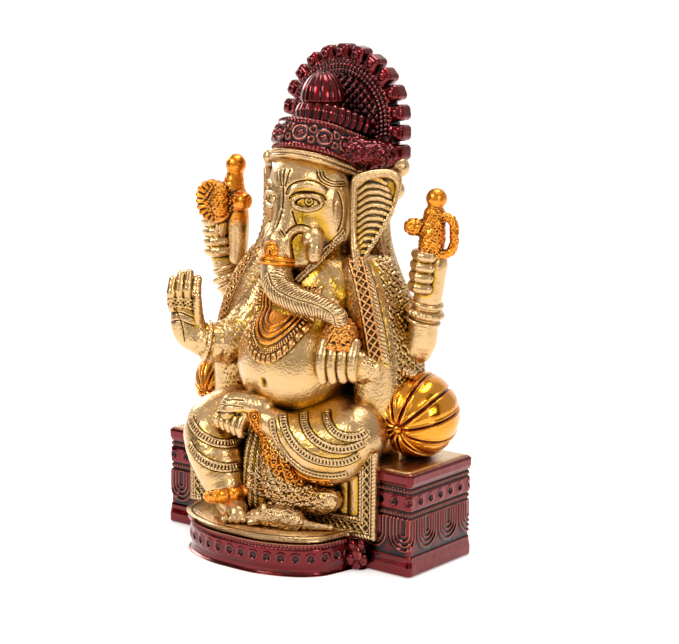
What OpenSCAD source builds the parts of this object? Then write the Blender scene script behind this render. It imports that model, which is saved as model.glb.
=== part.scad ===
// Seated four-armed elephant-headed idol on a lacquered throne, cast in brass.
// Millimetres. +Z is up, the figure faces -Y and its left hand is on +X.
// The origin is the middle of the footprint, on the surface that the throne stands on.

/* [Throne] */
// Width of the throne across both arm blocks
base_w = 134; // [130:1:140]
// Depth of the arm blocks, front to back
block_d = 46; // [44:1:48]
// Height of the arm blocks
block_h = 44; // [42:1:46]
// How far the rounded step stands out in front of the blocks
step_reach = 34; // [32:1:36]
// Half of the step's width
step_half_w = 39; // [37:1:41]
// Height of the step's lacquered rim
step_h = 14; // [12:1:16]
// Wall of the hollow castings
wall = 3.6; // [3:0.2:4.4]

/* [Figure] */
// Height of the whole idol
total_h = 215; // [212:1:218]
// Radius of the belly from side to side
belly_r = 28; // [27:1:29]
// Half of the head's width at the temples
head_r = 20; // [19:0.5:21]
// Depth of the figure for each millimetre that it is drawn deep
figure_depth = 0.99; // [0.98:0.01:0.99]

/* [Crown] */
// Outer radius of the toothed arch behind the crown
arch_r = 32.5; // [31.5:0.5:33.5]
// Number of square teeth round the arch's half circle
arch_teeth = 11; // [9:2:13]
// Depth of the arch, front to back
arch_d = 9; // [8:0.5:10]

/* [Bolsters] */
// Radius of each round bolster
bolster_r = 19; // [18:0.5:19.5]
// Number of piped seams round a bolster
bolster_seams = 10; // [8:1:12]

/* [Hidden] */

// The blocks' middle lies this far behind the middle of the footprint.
shift_y = step_reach / 2;
front_y = -block_d / 2;
back_y = block_d / 2;
footplate_t = 3;
floor_z = step_h + footplate_t;
seat_w = 106;
panel_t = 3;
panel_h = 34;
slab_t = 5;
slab_w = 78;
seat_z = block_h + slab_t;
arch_y = back_y - arch_d;
back_plate_t = 9;
back_plate_y = back_y - 3 - back_plate_t;
arch_z = total_h - arch_r;
arch_foot_z = 162;
low_teeth = 2;
tooth_reach = 6;
tooth_w = 7.4;
bolster_x = base_w / 2 - bolster_r + 2;
bolster_y = 4;
bolster_z = block_h + bolster_r;
peg_r = 2.5;
peg_l = 6;
limb_fn = 16;
finger_fn = 8;

// Middle points of the figure's main masses
belly_c = [0, -17, seat_z + 33];
skull_c = [0, -8, 150];
crown_c = [0, -8, 168];
crown_tilt = 20;

// A rounded limb through a list of [x, y, z, radius] stations
module limb(stations, fn = limb_fn) {
    for (i = [0 : len(stations) - 2])
        hull() {
            station(stations[i], fn);
            station(stations[i + 1], fn);
        }
}

module station(s, fn) {
    translate([s[0], s[1], s[2]]) sphere(r = s[3], $fn = fn);
}

// An egg with a half-size on each axis
module egg(centre, radii, fn = 24) {
    translate(centre) scale(radii) sphere(r = 1, $fn = fn);
}

// Mirrors its children to the figure's right hand when side is -1
module on_side(side) {
    scale([side, 1, 1]) children();
}

// The backrest and the arch, as one cut for the pieces that lie against them
module behind() {
    translate([-80, back_plate_y / figure_depth, 0]) cube([160, 60, arch_foot_z]);
    translate([-80, arch_y / figure_depth, 0]) cube([160, 60, total_h + 1]);
}

// Everything that belongs to the figure stands in the footprint's frame
module figure() {
    translate([0, shift_y, 0]) scale([1, figure_depth, 1]) children();
}

module throne() {
    translate([0, shift_y, 0]) children();
}

// ---------- throne ----------

// Outline of the step in plan: a rounded front with a cusp on each side
module step_outline(inset = 0) {
    reach = step_reach - inset;
    half = step_half_w - inset;
    corner = 16 - inset;
    intersection() {
        translate([0, front_y - reach + 60]) circle(r = 60, $fn = 128);
        union() {
            translate([-half, front_y - reach + corner]) square([2 * half, reach - corner]);
            translate([-half + corner, front_y - reach]) square([2 * (half - corner), reach]);
            for (x = [-1, 1])
                translate([x * (half - corner), front_y - reach + corner]) circle(r = corner, $fn = 48);
        }
    }
}

module pedestal() {
    color("darkred") throne() difference() {
        union() {
            translate([-base_w / 2, front_y, 0]) cube([base_w, block_d, block_h]);
            linear_extrude(step_h) step_outline();
        }
        translate([-base_w / 2 + wall, front_y + wall, -1])
            cube([base_w - 2 * wall, block_d - 2 * wall, block_h - wall + 1]);
        translate([0, 0, -1]) linear_extrude(step_h - wall + 1) step_outline(wall);
        // The core hole runs up into the hollow figure.
        translate([0, 0, block_h - wall - 1]) cylinder(r = 10, h = wall + 2, $fn = 64);
        for (x = [-1, 1])
            translate([x * bolster_x, bolster_y, block_h - wall - 1]) cylinder(r = peg_r, h = wall + 2, $fn = 24);
    }
}

module footplate() {
    color("goldenrod") throne() translate([0, 0, step_h]) linear_extrude(footplate_t)
        difference() {
            step_outline(2.5);
            translate([-step_half_w, front_y - panel_t]) square([2 * step_half_w, panel_t + 1]);
        }
}

module seat_front() {
    border = 9;
    color("gold") throne() difference() {
        translate([-seat_w / 2, front_y - panel_t, step_h]) cube([seat_w, panel_t, panel_h]);
        translate([-seat_w / 2 + border, front_y - panel_t - 1, step_h + border])
            cube([seat_w - 2 * border, 2, panel_h]);
    }
}

module seat_slab() {
    color("gold") throne() difference() {
        translate([-slab_w / 2, front_y, block_h]) cube([slab_w, block_d - 3, slab_t]);
        translate([0, 0, block_h - 1]) cylinder(r = 10, h = slab_t + 2, $fn = 64);
    }
}

module backrest_outline() {
    low_half = 36;
    shoulder_half = 35;
    top_half = 25;
    polygon([
        [-low_half, seat_z], [low_half, seat_z], [low_half, 96], [shoulder_half, 112],
        [top_half, 134], [top_half, arch_foot_z], [-top_half, arch_foot_z],
        [-top_half, 134], [-shoulder_half, 112], [-low_half, 96]
    ]);
}

module backrest() {
    color("gold") throne() translate([0, back_plate_y + back_plate_t, 0]) rotate([90, 0, 0])
        linear_extrude(back_plate_t) backrest_outline();
}

// A round cushion gathered into lobes that meet at its front and back
module bolster_mass(side) {
    lobe_r = bolster_r * 0.62;
    translate([side * bolster_x, bolster_y, bolster_z]) rotate([12, 0, side * 8]) rotate([90, 0, 0])
        for (i = [0 : bolster_seams - 1])
            rotate([0, 0, i * 360 / bolster_seams]) hull()
                translate([bolster_r - lobe_r, 0, 0]) scale([1, 0.72, 1.32]) sphere(r = lobe_r, $fn = 14);
}

module bolster(side) {
    color("orange") throne() difference() {
        union() {
            bolster_mass(side);
            translate([side * bolster_x, bolster_y, block_h - wall]) cylinder(r = peg_r, h = peg_l + wall, $fn = 24);
            translate([side * bolster_x, bolster_y, block_h]) cylinder(r = 9, h = 8, $fn = 24);
        }
        scale([1, figure_depth, 1]) {
            legs_mass();
            rear_arm_mass(side);
        }
        translate([-seat_w, front_y, 0]) cube([2 * seat_w, 2 * block_d, block_h - wall]);
        translate([-slab_w / 2, front_y, block_h]) cube([slab_w, block_d, slab_t]);
        translate([0, back_plate_y, 0]) rotate([-90, 0, 0]) mirror([0, 1, 0]) linear_extrude(back_plate_t)
            backrest_outline();
    }
}

// ---------- body ----------

module torso_mass() {
    egg(belly_c, [belly_r, 25, 25.5], 28);
    for (s = [-1, 1]) {
        limb([[s * 16, -3, 112, 11], [s * 14, -4, 84, 16], [s * 14, -2, 64, 15]]);
        station([s * 9, -14, 104, 13], limb_fn);
    }
    translate([0, 0, seat_z]) cylinder(r = 20, h = 20, $fn = 32);
}

module torso() {
    color("gold") figure() difference() {
        torso_mass();
        head_mass();
        legs_mass();
        for (s = [-1, 1]) rear_arm_mass(s);
        front_right_arm_mass();
        front_left_arm_mass();
        behind();
        translate([-50, -60, 0]) cube([100, 120, seat_z]);
        // The hollow that the casting core leaves
        egg(belly_c - [0, -3, 4], [belly_r - 7, 17, 19], 24);
        translate([0, 0, seat_z - 1]) cylinder(r = 10, h = 30, $fn = 32);
    }
}

module left_leg_mass() {
    limb([[12, -8, 58, 11], [28, -16, 55, 13], [36, -21, 54, 12.5], [30, -28, 46, 11], [20, -32, 42, 11]]);
    limb([[20, -32, 42, 11], [8, -37, 56, 7], [-6, -37, 61, 6], [-17, -36, 61, 5], [-24, -37, 58, 3.4]]);
    limb([[30, -28, 46, 11], [27, -29, 36, 7]]);
}

module right_leg_mass() {
    limb([[-12, -8, 56, 12], [-26, -26, 54, 13], [-31, -36, 50, 12], [-24, -41, 40, 10.5],
        [-17, -42, 30, 7.5], [-14, -41, 22, 6], [-9, -45, 20.4, 4.4], [-5, -50, 19.4, 3]]);
}

module legs_mass() {
    left_leg_mass();
    right_leg_mass();
}

module left_leg() {
    color("gold") figure() difference() {
        left_leg_mass();
        right_leg_mass();
        below_seat();
    }
}

module right_leg() {
    color("gold") figure() difference() {
        right_leg_mass();
        anklet_mass();
        below_seat();
        translate([-60, -60, 0]) cube([120, 60, floor_z]);
    }
}

// The blocks, the seat panel and the slab under the thighs
module below_seat() {
    y = (front_y - panel_t) / figure_depth;
    translate([-60, y, 0]) cube([120, 60, seat_z]);
}

module anklet_mass() {
    translate([-15, -41.5, 26]) rotate([0, 12, 0]) rotate_extrude($fn = 32) translate([7, 0]) circle(r = 1.8, $fn = 8);
}

module anklet() {
    color("orange") figure() difference() {
        anklet_mass();
        below_seat();
    }
}

module sash() {
    color("gold") figure() difference() {
        limb([[6, -34, 50, 8], [8, -35, 36, 8], [12, -33, 26, 7], [22, -31, 26, 5]]);
        legs_mass();
        below_seat();
        mouse_mass();
        translate([-60, -60, 0]) cube([120, 60, floor_z]);
    }
}

// ---------- head ----------

module head_mass() {
    egg(skull_c, [head_r, 19, 23]);
    limb([[0, -14, 152, 13], [0, -18, 138, 11]]);
    for (s = [-1, 1]) limb([[s * 9, -12, 150, 10], [s * 7, -12, 135, 9]]);
    // The neck is the spigot that seats in the torso.
    translate([0, 0, 106]) cylinder(r = 11, h = 34, $fn = 32);
}

module head() {
    color("gold") figure() difference() {
        head_mass();
        crown_space();
        trunk_mass();
        ears_mass();
        tusks_mass();
        behind();
    }
}

module trunk_mass() {
    limb([[0, -23, 142, 7.8], [-1, -27, 131, 7.4], [-1, -28.5, 122, 7.2], [2, -29.5, 117, 7],
        [7, -30, 113, 6.6], [14, -30, 110.5, 6], [21, -29, 109, 5.4], [27, -27, 107.5, 4.8],
        [31, -25, 105, 4], [31.5, -24, 101.5, 3.4]]);
}

module trunk() {
    color("gold") figure() difference() {
        trunk_mass();
        trunk_ring_mass();
        torso_mass();
    }
}

module trunk_ring_mass() {
    translate([-1, -27.8, 126]) rotate([4, 0, 0]) rotate_extrude($fn = 40) translate([7.4, 0]) circle(r = 1.5, $fn = 8);
}

module trunk_ring() {
    color("orange") figure() difference() {
        trunk_ring_mass();
        head_mass();
    }
}

// One ear: a broad flap that hangs from the temple and sweeps back
module ear_mass(side) {
    on_side(side) translate([20.5, -7, 147]) rotate([0, 0, 50]) rotate([90, 0, 0])
        translate([0, 0, -1.75]) linear_extrude(3.5)
            polygon([
                [0, 18], [8, 20], [17, 17], [21, 10], [20, 0], [14, -11], [7, -19], [3, -22], [0, -18]
            ]);
}

module ears_mass() {
    for (s = [-1, 1]) ear_mass(s);
}

module ear(side) {
    color("gold") figure() difference() {
        ear_mass(side);
        crown_mass();
        behind();
    }
}

module tusk_mass(side) {
    on_side(side) {
        limb([[8, -20, 140, 5], [10.5, -25, 136, 4.6]], 16);
        limb([[12, -22, 135, 4], [14, -26, 131.5, 3.2]], 16);
    }
}

module tusks_mass() {
    for (s = [-1, 1]) tusk_mass(s);
}

module tusk(side) {
    color("gold") figure() difference() {
        tusk_mass(side);
        trunk_mass();
        trunk_ring_mass();
    }
}

// ---------- crown ----------

module tilted_crown() {
    translate(crown_c) rotate([-crown_tilt, 0, 0]) children();
}

// One flat slice of the crown, wider where it runs back to the arch
module crown_tier(radius, height) {
    cylinder(r = radius, h = height, $fn = 32);
    translate([-radius * 1.3, 16, 0]) cube([radius * 2.6, 4, height]);
}

module crown_mass() {
    tilted_crown() {
        hull() {
            crown_tier(17.5, 1);
            translate([0, 0, 3]) crown_tier(18.5, 6);
            translate([0, 0, 12]) crown_tier(17, 1);
        }
        translate([0, 5, 12]) hull() {
            crown_tier(13, 1);
            translate([0, 0, 5]) crown_tier(14, 3);
            translate([0, 0, 10]) crown_tier(12, 1);
        }
    }
}

module crown_band_mass() {
    tilted_crown() translate([0, 0, -4]) hull() crown_tier(18.8, 4);
}

// Everything above the lower edge of the crown's band
module crown_space() {
    tilted_crown() translate([0, 0, -4]) cylinder(r = 45, h = 60, $fn = 32);
}

module crown() {
    color("firebrick") figure() difference() {
        crown_mass();
        behind();
    }
}

module crown_band() {
    color("rosybrown") figure() difference() {
        crown_band_mass();
        ears_mass();
        behind();
    }
}

module crown_dome() {
    color("firebrick") figure() difference() {
        egg([0, 2, 191], [11, 11, 13], 24);
        crown_mass();
        behind();
    }
}

// A horseshoe with square teeth that stands on the backrest's top
module crown_arch() {
    body_r = arch_r - tooth_reach;
    step = 180 / (arch_teeth - 1);
    pitch = step * PI / 180 * (arch_r - tooth_reach / 2);
    color("darkred") throne() translate([0, arch_y + arch_d, 0]) rotate([90, 0, 0]) linear_extrude(arch_d) {
        translate([0, arch_z]) circle(r = body_r, $fn = 96);
        translate([-body_r, arch_foot_z]) square([2 * body_r, arch_z - arch_foot_z]);
        for (i = [0 : arch_teeth - 1])
            translate([0, arch_z]) rotate(i * step) translate([body_r - 1, -tooth_w / 2])
                square([tooth_reach + 1, tooth_w]);
        for (side = [-1, 1], i = [1 : low_teeth])
            translate([side * (body_r + tooth_reach / 2 - 0.5), arch_z - i * pitch])
                square([tooth_reach + 1, tooth_w], center = true);
    }
}

// ---------- arms ----------

module palm(centre, turn, size) {
    translate(centre) rotate(turn) scale(size) sphere(r = 1, $fn = 14);
}

module fingers(root, turn, count, pitch, length, radius) {
    translate(root) rotate(turn) for (i = [0 : count - 1])
        translate([(i - (count - 1) / 2) * pitch, 0, 0]) hull() {
            sphere(r = radius, $fn = finger_fn);
            translate([0, 0, length - abs(i - 1.6) * length / 12]) sphere(r = radius * 0.8, $fn = finger_fn);
        }
}

module front_right_arm_mass() {
    limb([[-23, -5, 110, 8.5], [-30, -12, 84, 8.5], [-36, -24, 81, 7.2], [-40.5, -31, 85, 6.4]]);
    palm([-42.5, -36, 96], [0, 0, 30], [7.4, 4.2, 10]);
    fingers([-43, -36, 101], [8, -4, 30], 4, 3.4, 16, 1.9);
    hull() {
        station([-38, -34, 96, 2.6], finger_fn);
        station([-37, -36.5, 107, 1.8], finger_fn);
    }
}

module front_left_arm_mass() {
    limb([[25, -4, 110, 9], [35, -8, 86, 9], [34, -12, 80, 8.5], [30, -20, 82, 7]]);
    palm([28.5, -23, 87], [0, 0, 35], [8, 5, 6]);
    fingers([28.2, -25, 87], [172, 0, 37], 4, 4, 11, 2.2);
}

module rear_arm_mass(side) {
    on_side(side) {
        limb([[24, 5, 110, 8.5], [44, 5, 92, 7.5], [50, 5, 94, 7], [53, 4, 107, 6]]);
        limb([[53, 4, 107, 6], [56, 4, 118, 6.2], [57, 3, 126, 6]]);
        for (z = [113 : 5 : 128])
            limb([[50 + (z - 113) / 8, -1, z, 2.6], [55 + (z - 113) / 8, -3, z, 2.6],
                [59 + (z - 113) / 8, 1, z, 2.6]], finger_fn);
    }
}

module front_right_arm() {
    color("gold") figure() difference() {
        front_right_arm_mass();
        bangles_mass();
        right_leg_mass();
        behind();
    }
}

module front_left_arm() {
    color("gold") figure() difference() {
        front_left_arm_mass();
        bangles_mass();
        sweets_mass();
        left_leg_mass();
    }
}

module rear_arm(side) {
    color("gold") figure() difference() {
        rear_arm_mass(side);
        bangles_mass();
        front_right_arm_mass();
        front_left_arm_mass();
        head_mass();
        if (side > 0) {
            noose_shaft();
            noose_head();
        } else {
            axe_shaft();
            axe_head();
        }
        behind();
    }
}

module bangle(centre, turn, radius, section) {
    translate(centre) rotate(turn) rotate_extrude($fn = 24) translate([radius, 0]) circle(r = section, $fn = 6);
}

module bangles_mass() {
    bangle([-38.5, -28, 83.5], [-40, -48, 0], 6.6, 1.6);
    for (s = [-1, 1]) {
        bangle([s * 52.6, 4, 105], [0, s * 14, 0], 6.4, 1.8);
        bangle([s * 53.6, 4, 109], [0, s * 14, 0], 6.2, 1.2);
    }
    bangle([31.5, -17, 81.5], [55, 30, 0], 7, 1.4);
}

module bangles() {
    color("gold") figure() difference() {
        bangles_mass();
        torso_mass();
        left_leg_mass();
    }
}

// ---------- what the hands hold ----------

// The handles that the rear hands grip, each with its knob
module noose_shaft() {
    limb([[56, 0, 122, 3], [58, 2, 138, 5.4], [58.5, 3, 150, 4]], 14);
    station([59, 3, 154.5, 4.2], 14);
}

module axe_shaft() {
    limb([[-56, 0, 122, 3], [-52, 0, 142, 5], [-49, 1, 156, 3.6]], 14);
    station([-47.5, 1, 161.5, 4.4], 14);
}

// A fan of metal on the outer side and a bead on the inner side
module axe_head() {
    translate([-58.5, -5, 146]) rotate([90, 0, 25]) hull()
        scale([0.8, 1.1, 1]) cylinder(r = 8.5, h = 4, $fn = 28);
    limb([[-52, 0, 144, 3], [-44, -2, 146, 3.8]], 12);
}

module noose_head() {
    translate([63, 3, 141]) rotate([90, 0, 30]) scale([0.6, 1.2, 1])
        rotate_extrude($fn = 24) translate([6, 0]) circle(r = 2, $fn = 6);
    limb([[57, 2, 142, 3], [50, -1, 142, 3.6]], 12);
}

module axe() {
    color("orange") figure() {
        axe_shaft();
        axe_head();
    }
}

module noose() {
    color("orange") figure() {
        noose_shaft();
        noose_head();
    }
}

module sweets_mass() {
    station([27.5, -22, 95.5, 6], 16);
    for (a = [0 : 60 : 300])
        station([27.5 + 4.6 * cos(a), -22 + 4.6 * sin(a), 92.5, 2.6], 10);
}

module sweets() {
    color("orange") figure() difference() {
        sweets_mass();
        trunk_mass();
        torso_mass();
    }
}

// ---------- ornaments ----------

// A broad collar plate that lies on the chest
module necklace_mass() {
    translate([0, -22, 108]) rotate([62, 0, 0]) difference() {
        scale([1, 1.15, 1]) cylinder(r = 21, h = 16, $fn = 40, center = true);
        scale([1, 1.15, 1]) cylinder(r = 11, h = 40, $fn = 40, center = true);
        translate([-40, 2, -30]) cube([80, 60, 60]);
    }
}

module necklace() {
    color("orange") figure() intersection() {
        difference() {
            necklace_mass();
            torso_mass();
            head_mass();
            trunk_mass();
            trunk_ring_mass();
            sweets_mass();
            front_left_arm_mass();
            front_right_arm_mass();
        }
        egg(belly_c + [0, -1, 12], [belly_r + 1, 27, 27], 32);
    }
}

module collar_mass() {
    translate([0, -6, 123]) rotate([24, 0, 0]) rotate_extrude($fn = 40) translate([17.5, 0]) square([4, 6]);
}

module collar() {
    color("gold") figure() difference() {
        collar_mass();
        head_mass();
        torso_mass();
        trunk_mass();
        trunk_ring_mass();
        ears_mass();
        tusks_mass();
        behind();
    }
}

// A cloth band that hangs from the shoulder beside the chest
module stole_mass(side) {
    on_side(side) hull() {
        translate([26, -8, 126]) cube([10, 4, 3]);
        translate([30, -9, 100]) cube([11, 4, 3]);
        translate([38, -9, 70]) cube([11, 4, 3]);
    }
}

module stole(side) {
    color("gold") figure() difference() {
        stole_mass(side);
        front_right_arm_mass();
        front_left_arm_mass();
        rear_arm_mass(side);
        torso_mass();
        legs_mass();
        collar_mass();
        ears_mass();
        bangles_mass();
        on_side(side) translate([bolster_x, bolster_y, bolster_z]) sphere(r = bolster_r + 0.5, $fn = 32);
    }
}

// ---------- the mouse on the step ----------

module mouse_mass() {
    limb([[17, -41, 21, 5.2], [10, -43, 20.5, 4.4], [4, -45, 21, 3.2], [0, -46, 20, 1.6]], 14);
    limb([[17, -41, 21, 5.2], [24, -38, 19, 2.2], [31, -34, 18, 1.2]], 12);
    station([6.5, -46, 24, 1.8], 10);
    station([6.5, -41.5, 24.4, 1.8], 10);
}

module mouse() {
    color("gold") figure() difference() {
        mouse_mass();
        below_seat();
        legs_mass();
        translate([-60, -70, 0]) cube([120, 80, floor_z]);
    }
}

pedestal();
footplate();
seat_front();
seat_slab();
backrest();
bolster(1);  // bolster_left
bolster(-1);  // bolster_right
torso();
left_leg();
right_leg();
anklet();
sash();
head();
trunk();
trunk_ring();
ear(1);  // left_ear
ear(-1);  // right_ear
tusk(1);  // left_tusk
tusk(-1);  // right_tusk
crown();
crown_band();
crown_arch();
crown_dome();
front_right_arm();
front_left_arm();
rear_arm(-1);  // rear_right_arm
rear_arm(1);  // rear_left_arm
bangles();
axe();
noose();
sweets();
necklace();
collar();
stole(1);  // stole_left
stole(-1);  // stole_right
mouse();
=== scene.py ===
"""A seated elephant-headed idol in engraved brass on a lacquered throne, sculpted over its CAD frame."""

import math
import random

import bpy
import numpy as np
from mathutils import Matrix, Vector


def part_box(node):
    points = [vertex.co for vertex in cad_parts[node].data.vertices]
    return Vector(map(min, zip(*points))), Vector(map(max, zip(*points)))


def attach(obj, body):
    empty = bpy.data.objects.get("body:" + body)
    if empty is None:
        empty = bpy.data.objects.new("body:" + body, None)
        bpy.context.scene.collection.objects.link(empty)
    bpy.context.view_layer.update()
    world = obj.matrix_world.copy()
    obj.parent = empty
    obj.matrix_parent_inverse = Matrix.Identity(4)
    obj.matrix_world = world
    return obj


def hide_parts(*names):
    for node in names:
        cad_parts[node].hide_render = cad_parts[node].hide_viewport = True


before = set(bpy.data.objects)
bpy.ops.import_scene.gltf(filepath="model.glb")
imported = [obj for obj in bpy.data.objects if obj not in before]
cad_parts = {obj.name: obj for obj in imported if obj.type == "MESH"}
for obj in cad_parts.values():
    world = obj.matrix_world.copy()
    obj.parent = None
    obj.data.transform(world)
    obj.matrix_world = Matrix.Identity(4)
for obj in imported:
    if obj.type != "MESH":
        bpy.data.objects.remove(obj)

import openvdb
from mathutils import Euler, Vector

bl_info = {
    "name": "Brass Idol",
    "version": (1, 0, 0),
    "blender": (4, 5, 0),
    "location": "3D View > Sidebar > Idol",
    "description": "Sculpts an engraved brass idol on its lacquered throne over a CAD frame",
    "category": "Object",
}

# ---------------------------------------------------------------- places

# The model is worked in millimetres from the middle of the throne's blocks, on the ground.
# The figure faces -Y and its left hand is on +X.
BASE_LOW, BASE_HIGH = (np.array(corner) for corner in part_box("pedestal"))
BASE_WIDTH = 134.0
BLOCK_DEPTH = 46.0
MM = (BASE_HIGH[0] - BASE_LOW[0]) / BASE_WIDTH
MIDDLE = np.array([0.0, BASE_HIGH[1] / MM - BLOCK_DEPTH / 2, 0.0])


def corners(name):
    """A CAD node's lowest and highest corner, in millimetres from the middle of the blocks."""
    low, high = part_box(name)
    return np.array(low) / MM - MIDDLE, np.array(high) / MM - MIDDLE


def centre(name):
    """The middle of a CAD node's box."""
    low, high = corners(name)
    return (low + high) / 2


BLOCK_TOP = corners("pedestal")[1][2]
FRONT = -BLOCK_DEPTH / 2
STEP_FRONT = corners("pedestal")[0][1]
STEP_HALF = corners("footplate")[1][0] + 2.5
STEP_TOP = corners("footplate")[0][2]
FLOOR_TOP = corners("footplate")[1][2]
SEAT_TOP = corners("seat_slab")[1][2]
IDOL_TOP = corners("crown_arch")[1][2]
BOLSTER = centre("bolster_left")
BOLSTER_R = (corners("bolster_left")[1] - corners("bolster_left")[0])[0] / 2


# ---------------------------------------------------------------- small geometry helpers

def unit(v):
    return v / np.maximum(np.linalg.norm(v, axis=-1, keepdims=True), 1e-9)


def spin(degrees):
    """A rotation matrix from three angles about X, Y and Z."""
    return np.array(Euler([math.radians(d) for d in degrees]).to_matrix())


def curve(points, step, closed=False):
    """A smooth line through the points, with a station about every step millimetres."""
    p = np.array(points, float)
    if closed:
        p = np.vstack([p[-1], p, p[0], p[1]])
    else:
        p = np.vstack([2 * p[0] - p[1], p, 2 * p[-1] - p[-2]])
    out = []
    for i in range(1, len(p) - 2):
        count = max(2, int(np.linalg.norm(p[i + 1][:3] - p[i][:3]) / step))
        t = (np.arange(count) / count)[:, None]
        out.append(0.5 * (2 * p[i] + (p[i + 1] - p[i - 1]) * t
                          + (2 * p[i - 1] - 5 * p[i] + 4 * p[i + 1] - p[i + 2]) * t ** 2
                          + (3 * p[i] - p[i - 1] - 3 * p[i + 1] + p[i + 2]) * t ** 3))
    if not closed:
        out.append(p[-2][None])
    return np.vstack(out)


def flip(points, side):
    """The points as they are for the left hand (side 1), or mirrored for the right hand (side -1)."""
    p = np.array(points, float)
    p[..., 0] *= side
    return p


def smooth_min(a, b, blend):
    if not blend:
        return np.minimum(a, b)
    h = np.maximum(blend - np.abs(a - b), 0) / blend
    return np.minimum(a, b) - h * h * blend / 4


# ---------------------------------------------------------------- modelling clay

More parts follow.
